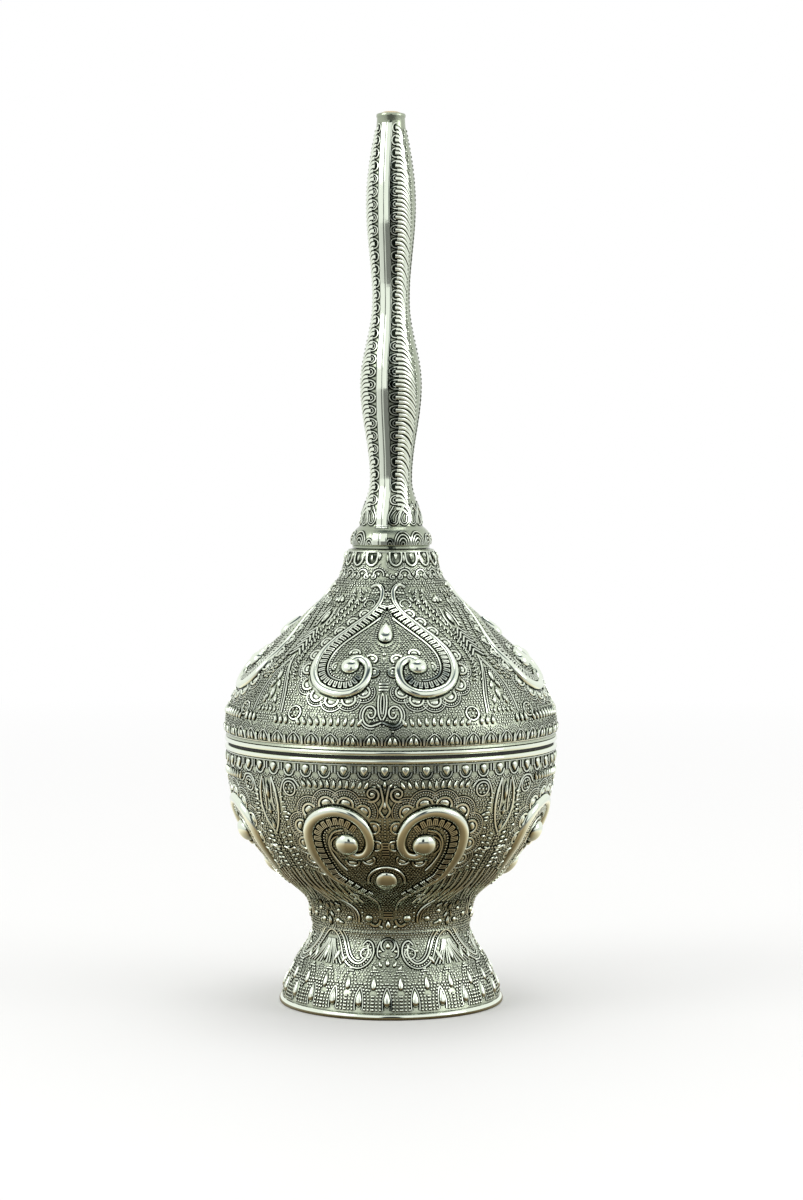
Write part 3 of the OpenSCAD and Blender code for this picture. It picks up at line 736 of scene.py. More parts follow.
bowlPlan = {
    "radii": (20.6, 41.95),
    "heights": (20.3, 64.4),
    "shape": [(0, 0), (0.02, 0.077), (0.055, 0.13), (0.15, 0.183), (0.41, 0.293), (0.61, 0.41),
              (0.78, 0.526), (0.905, 0.67), (0.985, 0.85), (1, 1)],
    "sink": 0.62,
    "arcs": (0.3, 51.7),
    "centre": -1.9,
    "drops": 52,
    "scroll": [(5.3, 6.0), (6.8, 9.2), (11.8, 12.1), (18.8, 15.9), (25.4, 19.4), (28.6, 24.6), (29.6, 30.2),
               (28.6, 35.0), (24.4, 38.4), (17.0, 39.9), (10.6, 38.4), (6.8, 35.2), (5.7, 31.4),
               (7.6, 28.4), (11.2, 27.4), (14.2, 28.2)],
    "widths": [0.5, 0.65, 0.8, 1.0, 1.5, 2.2, 2.6, 2.8, 3.0, 3.1, 2.9, 2.7, 2.6, 2.4, 2.2, 2.0],
    "outward": [0, 0],
    "scrollTall": 1.1,
    "scrollClear": 0.5,
    "knob": (14.5, 30.9, 0, 3.0, 3.0, 2.1),
    "cabochon": (0, 18.6, 0, 3.3, 2.7, 1.5),
    "rungs": {"near": 0.36, "far": 2.15, "gap": 1.85, "steps": (-0.46, 0.0, 0.46), "width": 0.3,
              "spine": 1.25},
    "fans": [(20.4, 41.5, 14, 1.75), (13.6, 41.5, -14, 1.75), (27.0, 39.6, 40, 1.7), (7.6, 39.8, -44, 1.6)],
    "petals": [(31.4, 35.4, 72, 1.6), (32.0, 30.6, 90, 1.5), (31.2, 25.8, 104, 1.4), (29.0, 21.6, 118, 1.2),
               (4.2, 35.6, -78, 1.35), (3.4, 30.6, -95, 1.3), (7.0, 26.2, -150, 1.4), (13.6, 25.6, 174, 1.5)],
    "topScroll": (4.3, 44.4, 1.95, 150, 1.35, 1, 0.72),
    "roundels": [(34.6, 45.0, 1.75), (19.2, 11.6, 1.15)],
    "tongues": {"first": 6.8, "last": 29.5, "step": 2.1, "upright": 17.0, "lean": 2.6, "arc": 45.4,
                "size": (2.8, 1.25, 0.7)},
    "wires": [
        (0.6, [(15.2, 35.0), (19.0, 34.2), (21.4, 31.6), (21.3, 28.0), (19.4, 24.6), (17.2, 22.4)]),
        (0.66, [(1.6, 46.6), (0.9, 44.4), (0.6, 42.2), (1.8, 40.2), (0.4, 38.6)]),
        (0.5, [(38.8, 41.0), (38.6, 44.0), (36.6, 47.0), (32.8, 47.3), (30.6, 45.6)]),
        (0.6, [(44.6, 33.2), (42.0, 36.2), (40.8, 40.4), (41.4, 44.6), (42.8, 47.4)]),
        (0.38, [(43.0, 46.8), (43.4, 42.4), (43.0, 39.0)]),
        (0.6, [(43.8, 28.8), (41.2, 28.2), (38.4, 28.9), (37.0, 28.0)]),
        (0.6, [(30.0, 9.6), (26.2, 8.2), (22.6, 6.4), (20.4, 4.4), (20.6, 2.8)]),
        (0.4, [(28.6, 7.8), (25.4, 6.6), (22.9, 4.8), (22.4, 3.2)]),
        (0.75, [(5.0, 3.6), (6.6, 2.3), (9.6, 2.0), (12.4, 2.6)]),
    ],
    "beadRows": [
        ("mirror", 0.74, 0.6, [(6.6, 17.4), (5.4, 15.4), (3.2, 14.0), (0.9, 13.4)]),
        ("quarter", 0.8, 0.66, [(0, 38.2), (0, 32.6)]),
        ("mirror", 0.8, 0.56, [(1.6, 37.6), (2.0, 33.4)]),
        ("quarter", 1.0, 0.8, [(45, 32.6), (45, 21.0)]),
        ("mirror", 0.9, 0.7, [(19.2, 9.2), (17.4, 6.8), (17.8, 4.4)]),
    ],
    "stamps": [
        ("drop", "quarter", [(0, 45.9, 0, 2.2, 1.0, 0.6), (0, 40.4, 0, 2.8, 1.0, 0.6),
                             (0, 1.0, 0, 2.8, 1.7, 0.7),
                             (45, 33.6, 0, 3.4, 1.2, 0.6), (45, 37.6, 0, 3.2, 1.1, 0.6),
                             (45, 1.2, 0, 3.0, 1.4, 0.7), (45, 5.4, 0, 2.6, 1.2, 0.6)]),
        ("drop", "mirror", [(1.4, 45.9, 38, 1.8, 0.8, 0.5), (2.8, 46.0, 62, 1.4, 0.7, 0.5),
                            (3.4, 1.2, 44, 2.1, 1.0, 0.6), (32.6, 2.0, 62, 2.4, 1.0, 0.6),
                            (41.4, 3.2, 20, 2.4, 1.0, 0.6), (33.0, 6.6, 32, 2.4, 1.0, 0.6),
                            (39.0, 6.4, 12, 2.4, 1.0, 0.6)]),
        ("drop", "mirror", [(40.2 - 0.25 * k, 43.4 - 1.15 * k, -66 - 5 * k, 2.3, 0.8, 0.5)
                            for k in range(6)]),
        ("drop", "mirror", [(42.9 - 0.1 * k, 32.6 - 1.35 * k, -62, 1.9, 0.9, 0.5) for k in range(9)]),
        ("leaf", "quarter", [(45, 41.2, 0, 5.4, 1.2, 0.6)]),
        ("leaf", "mirror", [(21.5 + 4.6 * k, 10.2, 14, 5.2, 1.1, 0.5) for k in range(5)]),
        ("bar", "quarter", [(-1.5, 27.6 + 0.8 * k, 90, 2.0, 0.42, 0.4) for k in range(6)]),
        ("bar", "quarter", [(-3.4, 4.3 + 0.75 * k, 90, 2.5, 0.42, 0.42) for k in range(3)]),
        ("pearl", "mirror", [(13.2, 3.9, 0, 1.05, 1.05, 0.8), (27.6, 3.6, 0, 0.8, 0.8, 0.6),
                             (36.0, 5.4, 0, 0.7, 0.7, 0.55), (38.0, 2.6, 0, 0.8, 0.8, 0.6)]),
    ],
    "grains": (0.5, 48.0, 0.76, 0.65),
}


def drawSidePetal(skin, deg, arc, turn, size):  # beaded towards the column, with three drops fanned outside
    beaded = deg > 31
    petal(skin, deg, arc, turn, size, rings=2 if beaded else 0)
    k = degreesPerRadian / float(radiusAt(skin, upAt(skin, arc)))
    for way in (turn - 26, turn, turn + 26) if beaded else ():
        a = math.radians(way)
        stamp(skin, "drop", [(deg + k * math.sin(a) * 3.7, arc + math.cos(a) * 3.7, way, 1.5, 0.9, 0.5)])


def drawBowlRim(skin, drops):  # arches of wire with tears in them, and bead arcs between them
    for deg in quarterOf(drops):
        wire(skin, arch(skin, deg, 49.9, 180, 1.5, 84, stretch=1.15), 0.46, "quarter", tall=1.2)
        for reach in (0.8, 1.4):
            beads(skin, arch(skin, deg + 180 / drops, 48.4, 180, reach, 70), 0.54, 0.46, "quarter")
    ringRow(skin, "tear", drops, 51.3, (2.7, 2.2, 0.65), turn=180)
    for side in (-0.4, 0.4):
        ringRow(skin, "bar", drops, 49.3, (2.0, 0.34, 0.4), shift=0.5, side=side)
    hoop(skin, 51.45)


def drawBowl(plan):
    skin = makeSkin("bowl", plan, laidOut(plan))
    scroll, broad = drawScroll(skin, plan)

    # the cabochon between two scrolls, under its arch of pearls, and the wires in the loop
    stamp(skin, "boss", [plan["cabochon"]], "quarter", clear=0.45)
    wire(skin, arch(skin, 0, 18.3, 0, 4.4, 92, stretch=1.15), 0.75, "quarter")
    beads(skin, arch(skin, 0, 18.3, 0, 3.55, 96, stretch=1.15), 0.72, 0.62, "quarter")
    wire(skin, arch(skin, 16.4, 30.4, 78, 2.9, 66), 0.5)

    # groups of three rungs on a rail, along the scroll's inner side
    inner = span(scroll, 0.12, 0.78)[::-1]
    half = span(broad, 0.12, 0.78)[::-1] / 2
    rungCells(skin, shifted(skin, inner, half), **plan["rungs"])
    beads(skin, shifted(skin, span(inner, 0.3, 0.88), span(half, 0.3, 0.88) + 2.75), 0.82, 0.66)

    # fans over the loop, petals down its sides
    for fan in plan["fans"]:
        petal(skin, *fan, rings=2, spread=92)
    for row in plan["petals"]:
        drawSidePetal(skin, *row)

    spiral(skin, *plan["topScroll"])
    for row in plan["roundels"]:
        roundel(skin, *row)
    leaningDrops(skin, **plan["tongues"])
    drawBowlRim(skin, plan["drops"])

    # long curved leaves from the waist up to the loops
    for k in range(8):
        deg = 17.5 + 3.4 * k
        rise = min(19.2 + 0.12 * k * k, 21.5)
        wire(skin, [(deg - 2.0, 9.0), (deg + 1.2, 12.0), (deg + 3.2, 15.6), (deg + 3.6, rise)], 0.55)
    drawDetails(skin, plan)
    grains(skin, *plan["grains"])
    return skin


bowlSkin = drawBowl(bowlPlan)


# Foot

footPlan = {
    "radii": (20.2, 28.4),
    "heights": (1.6, 20.3),
    "shape": [(0.95, 0), (0.83, 0.19), (0.65, 0.37), (0.51, 0.5), (0.33, 0.62), (0.12, 0.77),
              (0.01, 0.89), (0, 1)],
    "sink": 0.45,
    "arcs": (1.7, 22.4),
    "centre": -2.0,
    "drops": 24,
    "rope": [(45, 22.4), (41.5, 21.9), (37.6, 20.4), (34.0, 18.0), (30.2, 15.6), (25.6, 13.8), (20.4, 12.9),
             (15.6, 13.2), (11.6, 14.8), (9.6, 17.2), (10.8, 19.4), (14.4, 20.3), (17.6, 19.2)],
    "roundel": (14.8, 17.0, 1.35),
    "fanWires": (2.6, 4.8, 8.2, 10.6, 13.4),
    # rows of beads in nested arches over the drops: shift, gap, size, and one half of the arch
    "scales": [
        (0, 0.84, 0.74, [(0.6, 9.1), (2.6, 7.0), (3.5, 4.6), (3.4, 2.6)]),
        (0, 0.84, 0.74, [(2.5, 9.0), (4.5, 7.0), (5.4, 4.6), (5.3, 2.6)]),
        (0, 0.84, 0.74, [(7.1, 5.9), (7.1, 2.6)]),
        (7.5, 0.8, 0.7, [(0.5, 12.3), (2.0, 10.9), (2.5, 9.0), (2.0, 7.4)]),
        (7.5, 0.8, 0.7, [(0.5, 12.9), (3.8, 10.9), (4.3, 9.0), (3.8, 7.4)]),
    ],
    "scaleWire": [(0.2, 8.1), (1.6, 6.6), (2.3, 4.4), (2.1, 2.5)],
    "wires": [(0.42, [(5.2, 20.2), (7.0, 18.4), (6.6, 16.4), (4.4, 15.8)])],
    "beadRows": [],
    "stamps": [
        ("pearl", "mirror", [(19.4, 17.6, 0, 0.55, 0.55, 0.5), (21.0, 19.6, 0, 0.45, 0.45, 0.4),
                             (5.4, 17.6, 0, 0.5, 0.5, 0.45), (2.6, 16.4, 0, 0.42, 0.42, 0.4)]),
        ("drop", "quarter", [(0, 18.1, 0, 2.2, 1.4, 0.6), (0, 13.4, 0, 3.0, 1.3, 0.6)]),
        ("drop", "mirror", [(3.6, 13.2, 22, 2.6, 1.1, 0.5), (6.6, 12.4, 30, 2.2, 1.0, 0.5)]),
        ("leaf", "quarter", [(45, 13.6, 0, 6.6, 1.5, 0.6)]),
        ("leaf", "mirror", [(36.6, 13.6, -11.9, 5.2, 1.5, 0.6), (30.4, 13.6, -21.0, 3.4, 1.5, 0.6)]),
    ],
    "grains": (9.4, 22.2, 0.72, 0.6),
}


def drawFoot(plan):
    skin = makeSkin("foot", plan, laidOut(plan))

    # rope wave: a row of beads between two wires, from crest to trough to the curl
    line = trace(skin, plan["rope"])
    wire(skin, line, 0.5)
    wire(skin, shifted(skin, line, 1.3), 0.62)
    wire(skin, shifted(skin, span(line, 0, 0.7), 2.05), 0.36)
    beads(skin, shifted(skin, span(line, 0, 0.97), 0.64), 0.72, 0.58)
    roundel(skin, *plan["roundel"])

    # fan of wires under each crest, and the figure in the middle
    for off in plan["fanWires"]:
        wire(skin, [(45 - off * 1.1, 13.6), (45 - off * 0.85, 15.2), (45 - off * 0.45, 17.8),
                    (45 - off * 0.25, 20.0)], 0.42)
    wire(skin, arch(skin, 0, 19.2, 0, 1.7, 150), 0.5, "quarter")
    drawDetails(skin, plan)

    # two rows of drops, each in its nested arches
    drops = plan["drops"]
    ringRow(skin, "tear", drops, 3.1, (4.8, 1.9, 0.8), kind="Drops")
    ringRow(skin, "tear", drops, 7.3, (4.0, 1.5, 0.65), shift=0.5, kind="Drops")
    for deg in quarterOf(drops):
        for half in (1, -1):
            for shift, gap, size, scale in plan["scales"]:
                beads(skin, [(deg + shift + half * x, arc) for x, arc in scale], gap, size, "quarter")
            wire(skin, [(deg + half * x, arc) for x, arc in plan["scaleWire"]], 0.34, "quarter")
    grains(skin, *plan["grains"])
    return skin


footSkin = drawFoot(footPlan)


# Collar

collarPlan = {
    "outline": [(14.0, 106.5), (13.4, 107.4), (12.8, 108.6), (12.2, 110.6), (11.55, 112.9), (11.15, 114.0),
                (11.05, 114.4)],
    "sink": 0.3,
    "centre": -4.0,
    "drops": 18,
    "loop": [(-7.6, 8.3), (-7.4, 6.8), (-5.4, 5.5), (0, 4.8), (5.4, 5.5), (7.4, 6.8), (7.6, 8.3)],
    "hoopSteps": 240,
    "grains": (0.1, 8.2, 0.68, 0.58),
}


def drawCollar(plan):
    skin = makeSkin("collar", plan, smoothLine(plan["outline"]))
    drops = plan["drops"]
    for deg in quarterOf(drops, 0.5):
        wire(skin, [(deg + x, arc) for x, arc in plan["loop"]], 0.56, "quarter")
        hollow(skin, (deg, 8.3, 180, 2.9, 2.3, 0.1))
        beads(skin, arch(skin, deg, 6.4, 180, 2.5, 62), 0.62, 0.5, "quarter")
        wire(skin, arch(skin, deg + 10, 2.5, 0, 1.3, 110), 0.42, "quarter")
        beads(skin, arch(skin, deg + 10, 2.5, 0, 1.9, 70), 0.62, 0.5, "quarter")
        for hand in (1, -1):
            spiral(skin, deg + 3.8 * hand, 1.9, 0.8, 20 * hand, 1.0, hand, 0.38, "quarter")
    ringRow(skin, "drop", drops, 8.2, (2.2, 1.25, 0.7), turn=180, shift=0.5)
    ringRow(skin, "leaf", drops, 5.4, (2.8, 0.75, 0.5))
    ringRow(skin, "drop", drops, 1.7, (1.5, 1.0, 0.5))
    ringRow(skin, "drop", drops, 3.2, (1.4, 0.9, 0.5), turn=180, shift=0.5)
    hoop(skin, 8.35, plan["hoopSteps"])
    grains(skin, *plan["grains"])
    return skin


collarSkin = drawCollar(collarPlan)


# Neck

neckPlan = {
    "seat": 115.2,
    "height": 107.2,
    "base": [(9.9, 115.2), (10.2, 115.6), (10.38, 116.8), (10.1, 118.1), (9.3, 119.5)],
    "leafRadius": 8.15,
    "leafHeight": 5.4,
    "radii": (5.4, 7.85, 4.8, 6.35, 3.5),
    "shares": (0.157, 0.379, 0.577, 0.799),
    "sink": 0.3,
    "centre": -17,
    "scrolls": (126.9, 220.9),
    "pitch": 3.2,
    "strip": 1.45,
    "ribs": [(0.0, 0.25, 0.98), (1.12, 0.8, 0.86), (2.17, 0.62, 0.86)],  # drop, start in widths, width
    "leaves": 4,
    "shells": [(0.27, (0.5, 1.1)), (0.60, (0.6, 1.3, 2.0, 2.7)), (1.02, (0.6, 1.3, 2.0, 2.7)),
               (1.44, (0.6, 1.3, 2.0))],
}


def neckOutline(plan):  # leaves at the base, then waist, bulb, waist, bulb and tip, joined by half waves
    z0, h = plan["seat"], plan["height"]
    mouth = plan["radii"][-1]
    stations = [(plan["leafRadius"], z0 + plan["leafHeight"])]
    line = list(smoothLine(plan["base"] + stations, 8))
    stations += [(r, z0 + h * s) for r, s in zip(plan["radii"], plan["shares"])]
    for (ra, za), (rb, zb) in zip(stations, stations[1:]):
        line += [(ra + (rb - ra) * (1 - math.cos(math.pi * i / 24)) / 2, za + (zb - za) * i / 24)
                 for i in range(1, 25)]
    r4, z4 = stations[-1]
    line += [(mouth + (r4 - mouth) * math.cos(math.pi / 2 * i / 20), z4 + (z0 + h - z4) * i / 20)
             for i in range(1, 21)]
    return np.array(line)


def layNeck(skin, kind, part):  # four ways: right and left of a strip, at the front and at the back
    points, groups = part
    for half, way in (("Right", 1), ("Left", -1)):
        for back in (False, True):
            flat = points.copy()
            if back:
                flat[:, 0] = math.pi - flat[:, 0]
            flat[:, 0] = flat[:, 0] * way + skin["centre"]
            faces = groups if back == (way < 0) else [g[:, ::-1] for g in groups]
            pile.setdefault(skin["name"] + half + kind, []).append((wrapOn(skin, flat), faces))


def drawNeck(plan):
    skin = makeSkin("neck", plan, neckOutline(plan))

    def across(z, x):  # a point x mm round from the strip's middle, at a height
        up = float(np.interp(z, skin["z"], skin["up"]))
        return x / float(radiusAt(skin, up)), up

    def drawn(kind, points, width, shape="wire", tall=1.5, dark=False):
        flat = np.array([across(z, x) for x, z in points])
        line = respaced(skin, smoothLine(flat, 8) if len(points) > 2 else flat, 0.3)
        if isinstance(width, tuple):
            width = np.linspace(*width, len(line))
        part = ribbonPart(skin, line, width, shape, tall)
        if dark:
            part[0][:, 3] = 0
        layNeck(skin, kind, part)

    # hooks up both sides of the strip, and three ribs that run out of each
    z, top = plan["scrolls"]
    count = 0
    while z < top:
        r = float(np.interp(z, skin["z"], skin["r"]))
        edge = plan["strip"] + 0.08 * (r - 5)
        wide = min(max(0.26 * r - 0.45, 0.62), 1.45)
        c = edge + 0.2 + wide * 0.8
        drawn("Hollows", [(edge + 0.15, z), (c + wide * 0.9, z)], 2.0, "strap", 0.16, dark=True)
        drawn("Scrolls", [(c + wide * 0.9, z + 1.2), (c, z + 1.14), (c - wide * 0.7, z + 0.6),
                          (c - wide * 0.75, z - 0.35), (c - wide * 0.15, z - 1.02),
                          (c + wide * 0.9, z - 1.1)], 0.36)
        if wide > 1.0:
            drawn("Scrolls", [(c + wide * 0.2, z + 0.66), (c - wide * 0.22, z + 0.3),
                              (c - wide * 0.2, z - 0.32), (c + wide * 0.3, z - 0.6)], 0.26, tall=1.6)
        last = r * math.pi / 2 * 0.83
        for drop, start, broad in plan["ribs"]:
            x, low = c + wide * start, z - drop
            run = last - 0.4 - x
            drawn("Ribs", [(x, low), (x + run * 0.35, low - 0.12), (x + run * 0.68, low - 1.1),
                           (last - 0.4, low - 2.9)], (broad, 0.56), "rib", 1.0)
            end = (*across(low - 0.5, last), 0.0, 0.33, 0.33, 0.297)
            layNeck(skin, "Pearls", stampPart(skin, "bead", [end]))
        z += plan["pitch"]
        count += 1
    print("neck scrolls:", count)

    # the plain strip beside the seam
    seam = [(0.74, 119.9 + 1.5 * k) for k in range(68)] + [(0.72, 222.2)]
    drawn("Strip", seam, 1.38, "strap", 0.4)
    drawn("Strip", [(0.95, 115.9), (0.98, 117.2), (0.95, 118.6)], 1.8, "strap", 0.4)

    # lance leaves at the foot of the neck, each but the last with a smaller one in it
    for k in range(plan["leaves"]):
        x, lean = 3.0 + k * 2.75, 1.5 - 0.25 * k
        for inset, broad in ((0.0, 0.34), (0.62, 0.26))[: 2 if k < plan["leaves"] - 1 else 1]:
            drawn("Leaves", [(x - 1.25 + inset + lean * 0.6, 125.4 - inset * 1.6), (x - 1.35 + inset, 123.0),
                             (x - 1.0 + inset * 0.8, 121.4 + inset * 0.4), (x, 120.7 + inset),
                             (x + 1.0 - inset * 0.8, 121.4 + inset * 0.4), (x + 1.2 - inset, 123.0),
                             (x + 0.5 - inset * 0.6 + lean, 125.9 - inset * 2)], broad)
        drawn("Leaves", [(x + 1.45, 121.0), (x + 1.6, 123.2), (x + 1.5 + lean * 0.7, 125.9)], 0.3)

    # shells on the base bulb
    up = across(115.9, 0)[1]
    r = float(radiusAt(skin, up))
    for mid, reaches in plan["shells"]:
        for reach in reaches:
            a = np.radians(np.linspace(-92, 92, max(int(reach * 9), 7)))
            line = np.stack([mid + reach * 0.78 / r * np.sin(a), up + reach * 1.25 / r * np.cos(a)], -1)
            layNeck(skin, "Leaves", ribbonPart(skin, line, 0.34, "wire", 1.6))
    return skin


drawNeck(neckPlan)


# Shells: an outline of (radius, height) spun round the middle

wall = 1.3


def spinShell(name, profile, steps=360, angle=360, start=0.0):
    deselectAll()
    bpy.ops.mesh.primitive_circle_add(vertices=len(profile), radius=0.01, fill_type="NOTHING")
    obj = bpy.context.object
    obj.name = name
    obj.data.name = name
    a = math.radians(start)
    for vert, (r, z) in zip(obj.data.vertices, np.array(profile, float) * 0.001):
        vert.co = (r * math.sin(a), -r * math.cos(a), z)
    editAll()
    bpy.ops.mesh.spin(steps=steps, angle=math.radians(angle), center=(0, 0, 0), axis=(0, 0, 1))
    bpy.ops.mesh.select_all(action="SELECT")
    bpy.ops.mesh.remove_doubles(threshold=1e-6)
    bpy.ops.mesh.delete_loose(use_faces=False)
    bpy.ops.mesh.select_all(action="SELECT")
    if angle < 360:
        bpy.ops.mesh.fill_holes(sides=0)
    closeOutwards()
    return obj


def thinned(line, keepEvery):
    keep = sorted(set(range(0, len(line), keepEvery)) | {len(line) - 1})
    return [tuple(p) for p in line[keep]]


def inside(skin, low, high, every=8):  # the inner face of the wall, from the top down
    return [tuple(p) for p in insetLine(skin["line"], wall)[::every] if low < p[1] < high][::-1]


def domeShell():
    inner = inside(domeSkin, 68.2, 104)
    return spinShell("domeShell", [(40.4, 67.7), (41.35, 67.7), (41.75, 67.8)]
                     + thinned(domeSkin["line"][4:-2], 2)
                     + [(13.6, 106.64), (11.5, 106.64), (11.5, 104.0)] + inner + [(inner[-1][0], 67.7)])


def bowlShell():
    inner = inside(bowlSkin, 23.5, 64.2)
    return spinShell("bowlShell", [(2.0, 20.3), (20.2, 20.3)] + thinned(bowlSkin["line"][2:-2], 2)
                     + [(41.4, 64.2), (41.2, 64.4), (40.05, 64.4)] + inner
                     + [(inner[-1][0] - 1, 23.3), (5.6, 23.3), (4.8, 24.1), (4.8, 30.2), (4.2, 30.8),
                        (0, 30.8), (0, 29.5), (2.0, 28.4)])


def footShell():
    return spinShell("footShell", [(26.6, 1.5), (27.6, 1.5)] + thinned(footSkin["line"][2:], 2)
                     + [(19.7, 20.3), (2.2, 20.3), (2.2, 18.1), (16.9, 18.1)]
                     + inside(footSkin, 1.7, 17.6, 6))


def footLip():
    return spinShell("footLip", [(26.2, 0), (27.9, 0), (28.18, 0.1), (28.34, 0.35), (28.38, 0.7), (28.3, 1.1),
                                 (28.1, 1.42), (27.8, 1.6), (27.3, 1.68), (26.4, 1.6)])


def collarShell():
    plug = [(7.06, 103.5), (10.95, 103.5), (11.45, 104.0), (11.45, 106.2), (13.4, 106.2)]
    mouth = [(10.72, 114.5), (10.4, 114.6), (10.0, 114.6), (9.9, 114.5), (7.66, 114.5), (7.06, 113.9)]
    return spinShell("collarShell", plug + thinned(collarSkin["line"][:-1], 3) + mouth,
                     steps=collarPlan["hoopSteps"])


def neckShell(name, start):
    z0 = neckPlan["seat"]
    line = insetLine(neckOutline(neckPlan), neckPlan["sink"])
    lip = [(3.5, 222.4), (3.68, 222.7), (3.7, 223.1), (3.55, 223.45), (3.3, 223.55), (3.05, 223.4),
           (3.05, 222.5)]
    bore = [(2.5, 222.4), (2.5, 219.2), (3.4, 218.2), (3.4, 169.0), (4.0, 136.0), (4.6, 122.5), (4.6, 120.5),
            (6.3, 120.5), (6.3, z0)]
    return spinShell(name, [(9.25, z0), (9.3, z0 - 0.3), (9.75, z0 - 0.3)] + [tuple(p) for p in line[1:-2]]
                     + lip + bore, steps=120, angle=180, start=start)


rimPlan = {
    "bead": 42.0,
    "lower": 64.4,
    "upper": 66.4,
    "height": 1.3,
    "steps": 320,
}


def beadProfile(z, plan):
    half = plan["height"] / 2
    return [(plan["bead"] - half + half * math.cos(a), z + half + half * math.sin(a))
            for a in np.radians(np.linspace(-90, 90, 14))]


def bowlRim(plan):
    z, h = plan["lower"], plan["height"]
    return spinShell("bowlRimBead", beadProfile(z, plan)
                     + [(38.76, z + h), (38.26, z + h - 0.5), (38.26, z - 4.2), (39.25, z - 4.2),
                        (39.85, z - 3.6), (39.85, z)], plan["steps"])


def domeRim(plan):
    z, h = plan["upper"], plan["height"]
    return spinShell("domeRimBead", [(37.9, z)] + beadProfile(z, plan)
                     + [(39.2, z + h), (39.2, z + 3.9), (38.7, z + 4.4), (37.8, z + 4.4), (36.4, z + h),
                        (36.4, z - 5.9), (37.4, z - 5.9), (37.7, z - 5.6), (37.7, z - 0.2)], plan["steps"])


shells = {
    "dome": domeShell(), "bowl": bowlShell(), "foot": footShell(), "collar": collarShell(),
    "foot lip": footLip(),
    "neck_left": neckShell("neckLeftShell", 180 + neckPlan["centre"]),
    "neck_right": neckShell("neckRightShell", neckPlan["centre"]),
    "bowl_rim": bowlRim(rimPlan), "dome_rim": domeRim(rimPlan),
}


# Finishes. A helper adds a node to a tree, links what it is given, and hands back the node's result

def addNode(tree, kind, links=(), **values):
    node = tree.nodes.new(kind)
    for key, value in values.items():
        if key in node.inputs:
            node.inputs[key].default_value = value
        else:
            setattr(node, key, value)
    for key, source in links:
        tree.links.new(source, node.inputs[key])
    return node


def ramp(tree, source, stops):
    node = addNode(tree, "ShaderNodeValToRGB", [("Fac", source)])
    for k, (at, colour) in enumerate(stops):
        stop = node.color_ramp.elements[k] if k < 2 else node.color_ramp.elements.new(at)
        stop.position = at
        stop.color = colour + (1,) if len(colour) == 3 else (colour[0],) * 3 + (1,)
    return node.outputs["Color"]


def mapped(tree, source, low, high, start=0.0, end=1.0):
    node = addNode(tree, "ShaderNodeMapRange", [("Value", source)])
    for key, value in (("From Min", low), ("From Max", high), ("To Min", start), ("To Max", end)):
        node.inputs[key].default_value = value
    return node.outputs["Result"]


def calc(tree, operation, first, second):
    return addNode(tree, "ShaderNodeMath", [(0, first), (1, second)], operation=operation).outputs["Value"]


def vectorCalc(tree, operation, first, second=None):
    node = addNode(tree, "ShaderNodeVectorMath", [(0, first)], operation=operation)
    if second:
        node.inputs[1].default_value = second
    return node.outputs["Value" if operation in ("LENGTH", "DISTANCE", "DOT_PRODUCT") else "Vector"]


def cloud(tree, spot, scale, detail):
    return addNode(tree, "ShaderNodeTexNoise", [("Vector", spot)], Scale=scale, Detail=detail).outputs["Fac"]


def roughened(tree, height, strength):
    return addNode(tree, "ShaderNodeBump", [("Height", height)], Strength=strength,
                   Distance=0.0001).outputs["Normal"]


def multiplied(tree, factor, first, second):
    return addNode(tree, "ShaderNodeMix", [(6, first), (7, second)], data_type="RGBA", blend_type="MULTIPLY",
                   Factor=factor).outputs[2]


def newMaterial(name):
    material = bpy.data.materials.new(name)
    material.use_nodes = True
    tree = material.node_tree
    return material, tree, tree.nodes["Principled BSDF"].inputs


silverLook = {
    "bright": (0.88, 0.95, 0.81),
    "pale": (0.66, 0.73, 0.57),
    "deep": (0.020, 0.027, 0.018),
    "ground": (0.54, 0.60, 0.46),
    "neckPale": (0.40, 0.45, 0.34),
    "neckBright": (0.66, 0.72, 0.59),
    "wearScale": 260.0,
    "wear": 0.13,
    # the crevice ramp and its strengths darken the colour by ambient occlusion: patina and painted shade in
    # the crevices
    "creviceReach": 0.0006,
    "creviceShadeAndPatina": [(0.58, (0.01,)), (0.92, (1.0,))],
    "shadeAndPatinaStrength": 0.62,
    "groundShadeAndPatinaStrength": 1.0,
}


def silver(name, stops, roughness, grainSize, bump):  # stops: how far up its shape, and the colour there
    look = silverLook
    material, tree, shader = newMaterial(name)
    spot = addNode(tree, "ShaderNodeTexCoord").outputs["Object"]
    shader["Metallic"].default_value = 1.0

    # patina fills the low parts and the crevices, and wear clears the high ones unevenly; the crevices also
    # get painted shade, ambient occlusion multiplied into the colour
    cloudy = cloud(tree, spot, look["wearScale"], 3.0)
    lift = addNode(tree, "ShaderNodeAttribute", attribute_name="lift").outputs["Fac"]
    high = calc(tree, "ADD", lift, mapped(tree, cloudy, 0.3, 0.7, -look["wear"], look["wear"]))
    tone = ramp(tree, high, [(at, look[key]) for at, key in stops])
    # painted shade: ambient occlusion near other shapes darkens the colour, along with the patina there
    shade = addNode(tree, "ShaderNodeAmbientOcclusion", samples=5)
    shade.inputs["Distance"].default_value = look["creviceReach"]
    shadeAndPatinaStrength = look["groundShadeAndPatinaStrength" if "Ground" in name else "shadeAndPatinaStrength"]
    toneWithShadeAndPatina = multiplied(tree, shadeAndPatinaStrength, tone, ramp(tree, shade.outputs["AO"], look["creviceShadeAndPatina"]))
    tree.links.new(toneWithShadeAndPatina, shader["Base Color"])

    # soft unevenness of the cast and of the polish
    tree.links.new(mapped(tree, cloudy, 0.3, 0.7, roughness * 0.7, roughness * 1.4), shader["Roughness"])
    tree.links.new(roughened(tree, cloud(tree, spot, grainSize, 2.0), bump), shader["Normal"])
    return material


